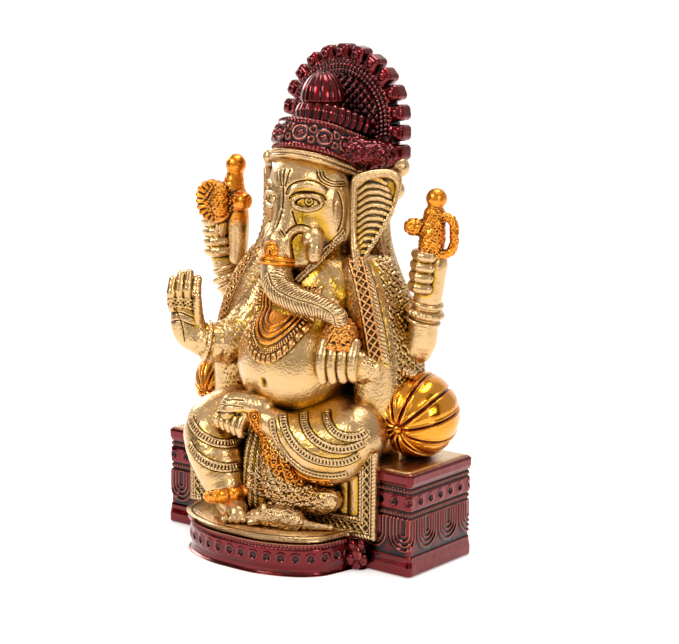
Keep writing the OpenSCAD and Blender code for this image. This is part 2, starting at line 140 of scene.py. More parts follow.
class Clay:
    """A block of modelling clay: a grid of distances to a surface, which shapes are joined to or cut from."""

    FAR = 8.0

    def __init__(self, low, high, cell=0.5):
        self.low = np.array(low, np.float32)
        self.cell = cell
        count = np.ceil((np.array(high) - self.low) / cell).astype(int) + 1
        self.field = np.full(count, self.FAR, np.float32)
        self.axis = [self.low[i] + cell * np.arange(count[i], dtype=np.float32) for i in range(3)]

    def work(self, low, high, distance, blend, cut):
        """Joins or cuts a shape, given as a function of distance, inside its own box only."""
        pad = blend + 3 * self.cell
        first = np.floor((np.array(low) - pad - self.low) / self.cell).astype(int)
        last = np.ceil((np.array(high) + pad - self.low) / self.cell).astype(int) + 1
        first = np.clip(first, 0, self.field.shape)
        last = np.clip(last, 0, self.field.shape)
        if (last <= first).any():
            return self
        part = tuple(slice(a, b) for a, b in zip(first, last))
        x = self.axis[0][part[0]][:, None, None]
        y = self.axis[1][part[1]][None, :, None]
        z = self.axis[2][part[2]][None, None, :]
        new = distance(x, y, z)
        old = self.field[part]
        self.field[part] = -smooth_min(-old, new, blend) if cut else smooth_min(old, new, blend)
        return self

    def ball(self, middle, radii, turn=None, blend=0.0, cut=False):
        c = np.array(middle, np.float32)
        r = np.broadcast_to(np.array(radii, np.float32), 3)
        m = None if turn is None else spin(turn).T.astype(np.float32)
        reach = r if turn is None else np.full(3, r.max())

        def distance(x, y, z):
            p = (x - c[0], y - c[1], z - c[2])
            if m is not None:
                p = tuple(row[0] * p[0] + row[1] * p[1] + row[2] * p[2] for row in m)
            near = np.sqrt(sum((q / a) ** 2 for q, a in zip(p, r)))
            steep = np.sqrt(sum((q / a ** 2) ** 2 for q, a in zip(p, r)))
            return near * (near - 1) / np.maximum(steep, 1e-5)

        return self.work(c - reach, c + reach, distance, blend, cut)

    def rod(self, a, b, blend=0.0, cut=False):
        """A round bar between two [x, y, z, radius] stations."""
        a, b = np.array(a, np.float32), np.array(b, np.float32)
        d = b - a
        length2 = max(float(d[:3] @ d[:3]), 1e-6)

        def distance(x, y, z):
            t = ((x - a[0]) * d[0] + (y - a[1]) * d[1] + (z - a[2]) * d[2]) / length2
            t = np.clip(t, 0, 1)
            gap = np.sqrt((x - a[0] - t * d[0]) ** 2 + (y - a[1] - t * d[1]) ** 2 + (z - a[2] - t * d[2]) ** 2)
            return gap - (a[3] + t * d[3])

        r = max(a[3], b[3])
        return self.work(np.minimum(a, b)[:3] - r, np.maximum(a, b)[:3] + r, distance, blend, cut)

    def limb(self, stations, blend=0.0, cut=False, step=3.0):
        """A rounded limb that runs smoothly through its [x, y, z, radius] stations."""
        line = curve(stations, step)
        first = Clay.__new__(Clay)
        first.__dict__ = dict(self.__dict__, field=np.full_like(self.field, self.FAR))
        for a, b in zip(line, line[1:]):
            first.rod(a, b)
        low = line[:, :3].min(0) - line[:, 3].max()
        high = line[:, :3].max(0) + line[:, 3].max()
        field, cell, base = first.field, self.cell, self.low

        def distance(x, y, z):
            i, j, k = (np.rint((q.ravel() - base[n]) / cell).astype(int) for n, q in enumerate((x, y, z)))
            return field[np.ix_(i, j, k)]

        return self.work(low, high, distance, blend, cut)

    def brick(self, middle, half, turn=None, rounding=0.5, blend=0.0, cut=False):
        c = np.array(middle, np.float32)
        h = np.array(half, np.float32) - rounding
        m = np.eye(3, dtype=np.float32) if turn is None else spin(turn).T.astype(np.float32)
        reach = np.abs(m.T) @ np.array(half)

        def distance(x, y, z):
            p = (x - c[0], y - c[1], z - c[2])
            q = [np.abs(row[0] * p[0] + row[1] * p[1] + row[2] * p[2]) - s for row, s in zip(m, h)]
            outside = np.sqrt(sum(np.maximum(v, 0) ** 2 for v in q))
            inside = np.minimum(np.maximum(np.maximum(q[0], q[1]), q[2]), 0)
            return outside + inside - rounding

        return self.work(c - reach, c + reach, distance, blend, cut)

    def plate(self, outline, half, origin, across, up, rounding=0.6, blend=0.0, cut=False, dish=0.0):
        """A flat plate with a smooth closed outline, drawn in the plane of across and up at the origin."""
        line = curve(outline, 1.5, closed=True)
        o, e1, e2 = (np.array(v, np.float32) for v in (origin, unit(np.array(across)), unit(np.array(up))))
        e3 = np.cross(e1, e2)
        world = o + line[:, :1] * e1 + line[:, 1:2] * e2
        following = np.roll(line, -1, 0)

        def distance(x, y, z):
            p = (x - o[0], y - o[1], z - o[2])
            a, b, w = (p[0] * e[0] + p[1] * e[1] + p[2] * e[2] for e in (e1, e2, e3))
            best = np.full(a.shape, 1e9, np.float32)
            inside = np.zeros(a.shape, bool)
            for (x0, y0), (x1, y1) in zip(line, following):
                dx, dy = x1 - x0, y1 - y0
                t = np.clip(((a - x0) * dx + (b - y0) * dy) / (dx * dx + dy * dy), 0, 1)
                best = np.minimum(best, (a - x0 - t * dx) ** 2 + (b - y0 - t * dy) ** 2)
                if abs(dy) > 1e-9:
                    crosses = ((b >= y0) != (b >= y1)) & (a < x0 + (b - y0) * dx / dy)
                    inside ^= crosses
            flat = np.sqrt(best) * np.where(inside, -1, 1) + rounding
            thick = np.abs(w - dish * best / 100) - (half - rounding)
            outside = np.sqrt(np.maximum(flat, 0) ** 2 + np.maximum(thick, 0) ** 2)
            return outside + np.minimum(np.maximum(flat, thick), 0) - rounding

        return self.work(world.min(0) - half - 1, world.max(0) + half + 1, distance, blend, cut)

    def skin(self):
        """The clay's surface, ready to be engraved."""
        grid = openvdb.FloatGrid()
        grid.background = self.FAR
        grid.copyFromArray(self.field)
        points, quads = grid.convertToQuads(0.0)
        return Skin(points * self.cell + self.low, quads, self.cell)


# ---------------------------------------------------------------- skins: surfaces that take engraving

class Skin:
    """A quad surface with the height of its engraving and how much lacquer lies on it."""

    def __init__(self, points, quads, cell):
        self.points = np.array(points, float)
        self.quads = np.array(quads, int)
        self.cell = cell
        self.normals = self.find_normals()
        middle = self.points.mean(0)
        corner = self.points[self.quads]
        area = np.cross(corner[:, 2] - corner[:, 0], corner[:, 3] - corner[:, 1])
        if ((corner.mean(1) - middle) * area).sum() < 0:
            self.quads = self.quads[:, ::-1]
            self.normals = -self.normals
        self.height = np.zeros(len(self.points))
        self.lacquer = np.zeros(len(self.points))
        self.wear = 1.0

    def find_normals(self):
        p, q = self.points, self.quads
        face = np.cross(p[q[:, 2]] - p[q[:, 0]], p[q[:, 3]] - p[q[:, 1]])
        total = np.stack([
            sum(np.bincount(q[:, c], face[:, axis], len(p)) for c in range(4)) for axis in range(3)
        ], 1)
        return unit(total)

    def relax(self, values, rounds):
        """The values, evened out between neighbours a number of times."""
        a = self.quads.ravel()
        b = np.roll(self.quads, -1, 1).ravel()
        count = np.bincount(a, minlength=len(values)) + np.bincount(b, minlength=len(values))
        count = np.maximum(count, 1)[:, None]
        v = values.reshape(len(values), -1)
        for _ in range(rounds):
            v = np.stack([
                np.bincount(a, v[b, i], len(v)) + np.bincount(b, v[a, i], len(v)) for i in range(v.shape[1])
            ], 1) / count
        return v.reshape(values.shape)

    def smooth(self, rounds=2):
        self.points = self.relax(self.points, rounds)
        self.normals = self.find_normals()
        return self

    def trace(self, path, reach, profile, lacquer=None, closed=False, depth=4.0):
        """Engraves a profile along a path: the profile takes how far along and how far across a vertex is."""
        if path is None or len(path) < 2:
            return self
        line = curve(path, 1.0, closed)
        if closed:
            line = np.vstack([line, line[:1]])
        p = self.points
        near = np.where(((p > line.min(0) - reach - depth) & (p < line.max(0) + reach + depth)).all(1))[0]
        if not len(near):
            return self
        q, n = p[near], self.normals[near]
        best = np.full(len(near), 1e9)
        along, side, rise, past = (np.zeros(len(near)) for _ in range(4))
        start = 0.0
        for i, (a, b) in enumerate(zip(line, line[1:])):
            d = b - a
            length = max(np.linalg.norm(d), 1e-6)
            d = d / length
            raw = (q - a) @ d
            t = np.clip(raw, 0, length)
            gap = q - a - t[:, None] * d
            far = (gap ** 2).sum(1)
            take = far < best
            across = unit(np.cross(d, n[take]))
            best[take] = far[take]
            along[take] = start + t[take]
            side[take] = (gap[take] * across).sum(1)
            rise[take] = (gap[take] * n[take]).sum(1)
            past[take] = (raw - t)[take]
            start += length
        keep = (np.abs(side) < reach) & (np.abs(rise) < depth) & (np.abs(past) < 0.6)
        index = near[keep]
        self.height[index] += profile(along[keep], side[keep])
        if lacquer is not None:
            self.lacquer[index] = np.maximum(self.lacquer[index], lacquer)
        return self

    def paint(self, middle, radii, amount=1.0):
        """Lays lacquer inside an egg-shaped region."""
        gap = (((self.points - middle) / radii) ** 2).sum(1)
        self.lacquer[gap < 1] = amount
        return self

    def emboss(self, height):
        """Adds heights that are worked out for every vertex from its place."""
        self.height += height
        return self

    def finished(self):
        """Points with the engraving applied, and how deep each one lies in fine and broad hollows."""
        self.points = self.points + self.normals * self.height[:, None]
        self.normals = self.find_normals()
        fine = self.relax(self.points, max(1, int((0.5 / self.cell) ** 2 * 2)))
        broad = self.relax(fine, min(60, int((1.8 / self.cell) ** 2 * 2)))
        fine = ((fine - self.points) * self.normals).sum(1) * self.wear
        broad = ((broad - self.points) * self.normals).sum(1)
        return self.points, fine, broad


def ridge(width, height):
    return lambda s, t: height * np.sqrt(np.clip(1 - (t / width) ** 2, 0, 1))


def groove(width, depth):
    return lambda s, t: -depth * np.clip(1 - (t / width) ** 2, 0, 1)


def band_mask(t, half):
    return np.clip((half - np.abs(t)) / 0.35, 0, 1)


def ladder(half, height, pitch):
    """A raised band with ticks across it between two rails."""
    def profile(s, t):
        rails = np.exp(-((np.abs(t) - half + 0.35) / 0.4) ** 2)
        ticks = 0.5 + 0.5 * np.cos(2 * math.pi * s / pitch)
        return height * band_mask(t, half + 0.3) * np.maximum(rails, 0.75 * ticks) - 0.12 * height
    return profile


def rope(half, height, pitch, slant=1.0):
    """A round band with slanting strands."""
    def profile(s, t):
        body = np.sqrt(np.clip(1 - (t / half) ** 2, 0, 1))
        strands = 0.5 + 0.5 * np.cos(2 * math.pi * (s + slant * t) / pitch)
        return height * body * (0.35 + 0.65 * strands)
    return profile


def studs(radius, height, pitch):
    """A row of round studs."""
    def profile(s, t):
        off = (s / pitch - np.round(s / pitch)) * pitch
        return height * np.sqrt(np.clip(1 - (off ** 2 + t ** 2) / radius ** 2, 0, 1))
    return profile


def rings(radius, height, pitch):
    """A row of punched rings, each with a bead in the middle."""
    def profile(s, t):
        off = (s / pitch - np.round(s / pitch)) * pitch
        r = np.sqrt(off ** 2 + t ** 2)
        return height * (np.exp(-((r - radius) / 0.4) ** 2) + np.exp(-(r / 0.55) ** 2) - 0.5 * (r < radius))
    return profile


def lattice(half, height, pitch):
    """Crossed slats between two rails."""
    def profile(s, t):
        a = np.abs((s + t) / pitch - np.round((s + t) / pitch)) * pitch
        b = np.abs((s - t) / pitch - np.round((s - t) / pitch)) * pitch
        slats = np.maximum(np.exp(-(a / 0.42) ** 2), np.exp(-(b / 0.42) ** 2))
        rails = np.exp(-((np.abs(t) - half + 0.4) / 0.45) ** 2)
        return height * band_mask(t, half + 0.2) * (np.maximum(slats, rails) - 0.35)
    return profile


def feathers(half, height, pitch):
    """Ribs that slant away on both sides of a middle groove."""
    def profile(s, t):
        ribs = 0.5 + 0.5 * np.cos(2 * math.pi * (s - 0.6 * np.abs(t)) / pitch)
        fade = np.clip((half - np.abs(t)) / 1.5, 0, 1) * np.clip((np.abs(t) - 0.3) / 0.6, 0, 1)
        return height * fade * (ribs ** 0.6 - 0.6) - 0.45 * np.exp(-(t / 0.4) ** 2)
    return profile


def weave(points, size, depth):
    """A pebbled texture: six waves in scattered directions, each bent by a slower one."""
    scatter = np.random.default_rng(5)
    total = np.zeros(len(points))
    for _ in range(6):
        rate = 2 * math.pi / (0.8 * size) * scatter.uniform(0.7, 1.3)
        bend = np.sin(points @ unit(scatter.normal(size=3)) * rate * 0.4)
        total += np.sin(points @ unit(scatter.normal(size=3)) * rate + 1.5 * bend)
    return 0.55 * depth * np.clip(total / 2.4, -1, 1)


# ---------------------------------------------------------------- ready-made surfaces

def wall(outline, profile, relief=None, step=0.4, tilt=None):
    """A skin that runs round a closed plan outline and follows a profile of [outset, z] points."""
    plan = np.array(outline, float)
    ahead = np.roll(plan, -1, 0)
    length = np.linalg.norm(ahead - plan, axis=1)
    total = length.sum()
    count = max(12, int(total / step))
    at = np.concatenate([[0], np.cumsum(length)])
    ring = np.arange(count) / count * total
    closed = np.vstack([plan, plan[:1]])
    xy = np.stack([np.interp(ring, at, closed[:, i]) for i in range(2)], 1)
    along = np.roll(xy, -1, 0) - np.roll(xy, 1, 0)
    out = unit(np.stack([along[:, 1], -along[:, 0]], 1))
    prof = np.array(profile, float)
    up = np.concatenate([[0], np.cumsum(np.linalg.norm(np.diff(prof, axis=0), axis=1))])
    rows = np.linspace(0, up[-1], max(2, int(up[-1] / step)))
    outset = np.interp(rows, up, prof[:, 0])
    height = np.interp(rows, up, prof[:, 1])
    points = np.empty((len(rows), count, 3))
    points[:, :, :2] = xy[None] + outset[:, None, None] * out[None]
    points[:, :, 2] = height[:, None]
    i, j = np.meshgrid(np.arange(len(rows) - 1), np.arange(count), indexing="ij")
    k = (j + 1) % count
    quads = np.stack([i * count + j, i * count + k, (i + 1) * count + k, (i + 1) * count + j], -1).reshape(-1, 4)
    flat = points.reshape(-1, 3)
    caps = [[flat[:count].mean(0)], [flat[-count:].mean(0)]]
    n = len(flat)
    flat = np.vstack([flat, *caps])
    j = np.arange(count)
    k = (j + 1) % count
    bottom = np.stack([np.full(count, n), k, j, j], 1)
    top = np.stack([np.full(count, n + 1), n - count + j, n - count + k, n - count + k], 1)
    quads = np.vstack([quads, bottom, top])
    skin = Skin(flat, quads, step)
    if relief is not None:
        s = np.append(np.tile(ring, len(rows)), [0, 0])
        z = np.append(np.repeat(height, count), [height[0], height[-1]])
        lift = relief(s, z, total)
        lift[-2:] = 0
        skin.emboss(lift)
    if tilt is not None:
        turn, origin = tilt
        skin.points = skin.points @ spin(turn).T + origin
        skin.normals = skin.find_normals()
    return skin


def rounded_box_plan(half_x, half_y, corner, middle=(0, 0)):
    """A rectangle with rounded corners, anticlockwise from the middle of its +X side."""
    out = []
    for cx, cy, start in ((1, 1, 0), (-1, 1, 90), (-1, -1, 180), (1, -1, 270)):
        for a in np.radians(np.linspace(start, start + 90, 8)):
            out.append([middle[0] + cx * (half_x - corner) + corner * math.cos(a),
                        middle[1] + cy * (half_y - corner) + corner * math.sin(a)])
    return out


def oval_plan(rx, ry, middle=(0, 0), count=72):
    a = np.linspace(0, 2 * math.pi, count, endpoint=False)
    return np.stack([middle[0] + rx * np.cos(a), middle[1] + ry * np.sin(a)], 1)


def tablet(origin, across, up, size, thick, relief, step=0.4, slump=0.0):
    """A flat tablet whose front carries relief, a function of the distances across and up."""
    e1, e2 = unit(np.array(across, float)), unit(np.array(up, float))
    e3 = np.cross(e1, e2)
    nx, ny = int(size[0] / step) + 1, int(size[1] / step) + 1
    a, b = np.meshgrid(np.linspace(0, size[0], nx), np.linspace(0, size[1], ny), indexing="ij")
    a, b = a.ravel(), b.ravel()
    edge = np.minimum(np.minimum(a, size[0] - a), np.minimum(b, size[1] - b))
    lift = relief(a, b) * np.clip(edge / 0.5, 0, 1)
    front = np.array(origin) + a[:, None] * e1 + b[:, None] * e2 + (thick + lift - slump * (edge < 0.2))[:, None] * e3
    back = np.array(origin) + a[:, None] * e1 + b[:, None] * e2
    i, j = np.meshgrid(np.arange(nx - 1), np.arange(ny - 1), indexing="ij")
    quads = np.stack([i * ny + j, (i + 1) * ny + j, (i + 1) * ny + j + 1, i * ny + j + 1], -1).reshape(-1, 4)
    n = nx * ny
    rim = np.concatenate([np.arange(nx) * ny, (nx - 1) * ny + np.arange(1, ny),
                          (np.arange(nx - 1)[::-1]) * ny + ny - 1, np.arange(1, ny - 1)[::-1]])
    following = np.roll(rim, -1)
    sides = np.stack([rim, rim + n, following + n, following], 1)
    quads = np.vstack([quads, quads[:, ::-1] + n, sides])
    return Skin(np.vstack([front, back]), quads, step)


BEAD_STEPS = 3


def bead_cloud(spots, radii):
    """Many small round beads as one skin. Each bead is a cube's grid, blown up to a ball."""
    n = BEAD_STEPS + 1
    side = np.linspace(-1, 1, n)
    faces, quads = [], []
    for axis in range(3):
        for sign in (-1, 1):
            u, v = np.meshgrid(side, side, indexing="ij")
            p = np.empty((n * n, 3))
            p[:, axis] = sign
            p[:, (axis + 1) % 3] = u.ravel()
            p[:, (axis + 2) % 3] = v.ravel()
            i, j = np.meshgrid(np.arange(n - 1), np.arange(n - 1), indexing="ij")
            q = np.stack([i * n + j, (i + 1) * n + j, (i + 1) * n + j + 1, i * n + j + 1], -1).reshape(-1, 4)
            quads.append((q if sign > 0 else q[:, ::-1]) + len(faces) * n * n)
            faces.append(unit(p))
    ball, quads = np.vstack(faces), np.vstack(quads)
    spots = np.array(spots, float)
    radii = np.broadcast_to(np.array(radii, float).reshape(-1, 1) if np.ndim(radii) else radii, (len(spots), 3)) \
        if np.ndim(radii) < 2 else np.array(radii, float)
    points = (spots[:, None] + ball[None] * radii[:, None]).reshape(-1, 3)
    all_quads = (quads[None] + (np.arange(len(spots)) * len(ball))[:, None, None]).reshape(-1, 4)
    beads = Skin(points, all_quads, 0.4)
    beads.wear = 0.3
    return beads


def ring_band(middle, radius, axis, section, relief=None, squash=1.0, step=0.35):
    """A bangle: a tube round an axis, with relief as a function of the way round and across."""
    w = unit(np.array(axis, float))
    u = unit(np.cross(w, [0.1, 0.2, 1.0] if abs(w[2]) < 0.9 else [1.0, 0, 0]))
    v = np.cross(w, u)
    n, m = int(2 * math.pi * radius / step), 20
    a = np.arange(n) / n * 2 * math.pi
    b = np.arange(m) / m * 2 * math.pi
    aa, bb = np.meshgrid(a, b, indexing="ij")
    lift = 0 if relief is None else relief(aa * radius, section * np.sin(bb)) * np.clip(np.cos(bb), 0, 1)
    r = radius + (section * 0.8 * np.cos(bb) + lift)
    points = (np.array(middle) + r[..., None] * (np.cos(aa)[..., None] * u + np.sin(aa)[..., None] * v)
              + (section * squash * np.sin(bb))[..., None] * w)
    i, j = np.meshgrid(np.arange(n), np.arange(m), indexing="ij")
    quads = np.stack([i * m + j, (i + 1) % n * m + j, (i + 1) % n * m + (j + 1) % m, i * m + (j + 1) % m], -1)
    return Skin(points.reshape(-1, 3), quads.reshape(-1, 4), step)


def merged(skins):
    """Several skins as one."""
    whole = Skin.__new__(Skin)
    offset = np.cumsum([0] + [len(s.points) for s in skins])
    whole.points = np.vstack([s.points for s in skins])
    whole.quads = np.vstack([s.quads + o for s, o in zip(skins, offset)])
    whole.normals = np.vstack([s.normals for s in skins])
    whole.height = np.concatenate([s.height for s in skins])
    whole.lacquer = np.concatenate([s.lacquer for s in skins])
    whole.cell = skins[0].cell
    whole.wear = skins[0].wear
    return whole


# ---------------------------------------------------------------- from skins to Blender

def add_piece(name, skin, material, nodes=(), body="root"):
    """Makes the mesh object, in metres in the row frame, and ties it to the CAD."""
    points, fine, broad = skin.finished()
    place = (points + MIDDLE) * MM
    mesh = bpy.data.meshes.new(name)
    mesh.vertices.add(len(place))
    mesh.vertices.foreach_set("co", place.astype(np.float32).ravel())
    square = skin.quads[:, 2] != skin.quads[:, 3]
    loops = np.concatenate([skin.quads[square].ravel(), skin.quads[~square][:, :3].ravel()])
    sizes = np.concatenate([np.full(square.sum(), 4), np.full((~square).sum(), 3)])
    mesh.loops.add(len(loops))
    mesh.loops.foreach_set("vertex_index", loops.astype(np.int32))
    mesh.polygons.add(len(sizes))
    mesh.polygons.foreach_set("loop_start", (np.cumsum(sizes) - sizes).astype(np.int32))
    mesh.polygons.foreach_set("use_smooth", np.ones(len(sizes), bool))
    mesh.update(calc_edges=True)
    for key, values in (("fine", fine), ("broad", broad), ("lacquer", skin.lacquer)):
        mesh.attributes.new(key, "FLOAT", "POINT").data.foreach_set("value", values.astype(np.float32))
    mesh.materials.append(material)
    piece = bpy.data.objects.new(name, mesh)
    bpy.context.scene.collection.objects.link(piece)
    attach(piece, body)
    if nodes:
        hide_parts(*nodes)
    return piece


# ---------------------------------------------------------------- materials

def linear(code):
    """A #rrggbb colour as linear light."""
    values = [int(code[i:i + 2], 16) / 255 for i in (1, 3, 5)]
    return [v / 12.92 if v <= 0.04045 else ((v + 0.055) / 1.055) ** 2.4 for v in values] + [1.0]


def add_node(tree, kind, inputs=(), **settings):
    """Adds a shader node, with its settings, and its inputs as values or as links."""
    made = tree.nodes.new(kind)
    for key, value in settings.items():
        setattr(made, key, value)
    for key, value in dict(inputs).items():
        socket = made.inputs[key]
        if isinstance(value, bpy.types.NodeSocket):
            tree.links.new(value, socket)
        else:
            socket.default_value = value
    return made


def mix(tree, factor, a, b):
    """Mixes two colours by a factor and returns the colour socket."""
    made = add_node(tree, "ShaderNodeMix", {0: factor, 6: a, 7: b}, data_type="RGBA")
    return made.outputs[2]


def fade(tree, value, low, high, to_low=0.0, to_high=1.0):
    """Maps a value from low-high to 0-1, smoothly."""
    made = add_node(tree, "ShaderNodeMapRange", {0: value, 1: low, 2: high, 3: to_low, 4: to_high},
                    interpolation_type="SMOOTHSTEP")
    return made.outputs[0]


def math_node(tree, operation, a, b):
    return add_node(tree, "ShaderNodeMath", {0: a, 1: b}, operation=operation).outputs[0]


def new_tree(name):
    material = bpy.data.materials.new(name)
    material.use_nodes = True
    tree = material.node_tree
    tree.nodes.clear()
    return material, tree


def groove_and_shade_factors(tree):
    """How far a point lies in a fine groove or a broad crevice, from the attributes that the skins carry, and
    how much its neighbours shelter it."""
    fine = add_node(tree, "ShaderNodeAttribute", attribute_name="fine").outputs["Fac"]
    broad = add_node(tree, "ShaderNodeAttribute", attribute_name="broad").outputs["Fac"]
    # Ambient occlusion paints shade into the colour: crevices and gaps between parts come out darker.
    opening = add_node(tree, "ShaderNodeAmbientOcclusion", {"Distance": 0.007}, samples=6).outputs["AO"]
    return fine, broad, math_node(tree, "SUBTRACT", 1.0, opening)


def brass_material(look):
    """Cast brass, hand-polished: the high places are pale and bright, the hollows keep yellow gold and brown
    patina, so the eye reads every engraved line as dark and every swelling as worn."""
    material, tree = new_tree("polished_brass")
    fine, broad, ao_shade = groove_and_shade_factors(tree)
    lacquer = add_node(tree, "ShaderNodeAttribute", attribute_name="lacquer").outputs["Fac"]
    where = add_node(tree, "ShaderNodeTexCoord").outputs["Object"]
    mottle = add_node(tree, "ShaderNodeTexNoise", {"Vector": where, "Scale": 140.0, "Detail": 5.0}).outputs[0]
    grain = add_node(tree, "ShaderNodeTexNoise", {"Vector": where, "Scale": 900.0, "Detail": 3.0}).outputs[0]
    # The hollow tone is partly unpolished brass in broad hollows and partly painted shade from ambient occlusion.
    deep = math_node(tree, "ADD", broad, math_node(tree, "MULTIPLY", mottle, 0.06))
    deep = math_node(tree, "ADD", deep, math_node(tree, "MULTIPLY", ao_shade, 0.35))
    hollow_and_shade = fade(tree, deep, -0.10, 0.19)
    polished = mix(tree, hollow_and_shade, linear(look.brass_high), linear(look.brass_low))
    tinted = mix(tree, lacquer, polished, linear(look.orange_lacquer))
    # The dark brown is partly tarnish in engraved lines and partly painted shade from ambient occlusion.
    tarnish_and_shade = math_node(tree, "ADD", fine, math_node(tree, "MULTIPLY", broad, 0.12))
    tarnish_and_shade = math_node(tree, "ADD", tarnish_and_shade, math_node(tree, "MULTIPLY", grain, 0.045))
    tarnish_and_shade = math_node(tree, "ADD", tarnish_and_shade, math_node(tree, "MULTIPLY", math_node(tree, "POWER", ao_shade, 2.0), 0.16))
    tarnish_and_shade = fade(tree, tarnish_and_shade, 0.035, 0.135)
    colour = mix(tree, tarnish_and_shade, tinted, linear(look.tarnish_and_shade_colour))
    rough = fade(tree, tarnish_and_shade, 0.0, 1.0, 0.27, 0.6)
    dents = math_node(tree, "ADD", mottle, math_node(tree, "MULTIPLY", grain, 0.6))
    bump = add_node(tree, "ShaderNodeBump", {"Height": dents, "Strength": 0.55, "Distance": 0.0008})
    shader = add_node(tree, "ShaderNodeBsdfPrincipled", {
        "Base Color": colour, "Metallic": 1.0, "Roughness": rough, "Normal": bump.outputs[0],
        "Coat Weight": 0.35, "Coat Roughness": 0.12})
    tree.links.new(shader.outputs[0], add_node(tree, "ShaderNodeOutputMaterial").inputs[0])
    return material


def lacquer_material(name, body, dark, worn, wear):
    """Brass under a thick clear tinted lacquer: deep colour, wet highlights, and edges where it has rubbed
    thin and the metal shows."""
    material, tree = new_tree(name)
    fine, broad, ao_shade = groove_and_shade_factors(tree)
    where = add_node(tree, "ShaderNodeTexCoord").outputs["Object"]
    mottle = add_node(tree, "ShaderNodeTexNoise", {"Vector": where, "Scale": 160.0, "Detail": 5.0}).outputs[0]
    # Darker where lacquer pools in grooves and crevices, plus painted shade from ambient occlusion.
    pooled_and_shaded = math_node(tree, "ADD", fine, math_node(tree, "MULTIPLY", broad, 0.3))
    pooled_and_shaded = math_node(tree, "ADD", pooled_and_shaded, math_node(tree, "MULTIPLY", ao_shade, 0.12))
    pooled_and_shaded = fade(tree, pooled_and_shaded, -0.01, 0.08)
    base = mix(tree, pooled_and_shaded, linear(body), linear(dark))
    rubbed = math_node(tree, "ADD", math_node(tree, "MULTIPLY", fine, -1.0), math_node(tree, "MULTIPLY", mottle, 0.03))
    colour = mix(tree, fade(tree, rubbed, 0.12, 0.3, 0.0, wear), base, linear(worn))
    bump = add_node(tree, "ShaderNodeBump", {"Height": mottle, "Strength": 0.7, "Distance": 0.0008})
    shader = add_node(tree, "ShaderNodeBsdfPrincipled", {
        "Base Color": colour, "Metallic": 1.0, "Roughness": 0.2, "Normal": bump.outputs[0],
        "Coat Weight": 0.6, "Coat Roughness": 0.05})
    tree.links.new(shader.outputs[0], add_node(tree, "ShaderNodeOutputMaterial").inputs[0])
    return material


MATERIALS = {}


def material(name):
    """The named material, made once from the colours in the panel."""
    look = bpy.context.scene.idol_look
    if name not in MATERIALS:
        MATERIALS[name] = {
            "brass": lambda: brass_material(look),
            "red": lambda: lacquer_material("red_lacquer", look.red_lacquer, look.red_dark, look.red_worn, 0.35),
            "amber": lambda: lacquer_material("amber_lacquer", look.amber_lacquer, look.amber_dark,
                                              look.amber_lacquer, 0.2),
        }[name]()
    return MATERIALS[name]


# ---------------------------------------------------------------- settings

class IdolLook(bpy.types.PropertyGroup):
    """Colours, as sRGB hex codes."""

    brass_high: bpy.props.StringProperty(name="Polished brass", description="High places", default="#CFAA78")
    # Brass in hollows: the unpolished tone, laid also where ambient occlusion paints shade.
    brass_low: bpy.props.StringProperty(name="Brass in hollows", description="Sheltered brass", default="#CC991F")
    # The dark brown of tarnish in engraved lines, also painted as shade in crevices that ambient occlusion finds.
    tarnish_and_shade_colour: bpy.props.StringProperty(name="Patina", description="Engraved lines", default="#2B1A08")
    orange_lacquer: bpy.props.StringProperty(name="Orange tint", description="Painted ornaments", default="#E28A20")
    red_lacquer: bpy.props.StringProperty(name="Red lacquer", description="Throne and crown", default="#68030A")
    # Pooled red: lacquer gathered in hollows, also painted as shade where ambient occlusion darkens.
    red_dark: bpy.props.StringProperty(name="Pooled red", description="Lacquer in the hollows", default="#0C0102")
    red_worn: bpy.props.StringProperty(name="Rubbed red", description="Lacquer on worn edges", default="#D89070")
    amber_lacquer: bpy.props.StringProperty(name="Amber lacquer", description="Bolsters", default="#E2921C")
    # Pooled amber: lacquer gathered in seams, also painted as shade where ambient occlusion darkens.
    amber_dark: bpy.props.StringProperty(name="Pooled amber", description="Bolster seams", default="#5A1E08")


class IdolSizes(bpy.types.PropertyGroup):
    """Sizes of the sculpting, in millimetres."""

    cell: bpy.props.FloatProperty(name="Clay grid", description="Spacing of the clay's grid", default=0.42, min=0.3)


# ---------------------------------------------------------------- the throne

def block_relief(s, z, total):
    """Bands of the arm blocks: cords, dimples and a row of hanging lotus petals."""
    top = BLOCK_TOP
    out = np.zeros_like(z)

    def strip(low, high):
        return np.clip((z - low) / 0.3, 0, 1) * np.clip((high - z) / 0.3, 0, 1)

    cord = 0.5 + 0.5 * np.cos(2 * math.pi * (s + 0.4 * z) / 1.5)
    for low in (top - 9.2, top - 19.2):
        out += strip(low, low + 3.4) * (-1.0)
        out += strip(low + 0.7, low + 2.7) * 0.9 * cord
    pitch = total / round(total / 7.2)
    off = (s / pitch - np.round(s / pitch)) * pitch
    r = np.sqrt(off ** 2 + (z - top + 12.4) ** 2)
    out += -0.9 * np.clip(1 - (r / 1.5) ** 2, 0, 1) + 0.25 * np.exp(-((r - 1.9) / 0.4) ** 2)
    petal = total / round(total / 15)
    off = np.abs((s / petal - np.round(s / petal)) * petal)
    lower = top - 34.0
    for size in (6.6, 4.9, 3.2, 1.5):
        tip = lower + 9 - size * 1.2
        reach = np.where(z > tip + size, off - size, np.hypot(off, z - tip - size) - size)
        line = np.exp(-(reach / 0.45) ** 2) * strip(lower - 3, top - 19.6)
        out += (0.75 if size > 2 else 0.6) * line
    out -= 0.5 * strip(lower - 1.5, top - 19.6)
    return out


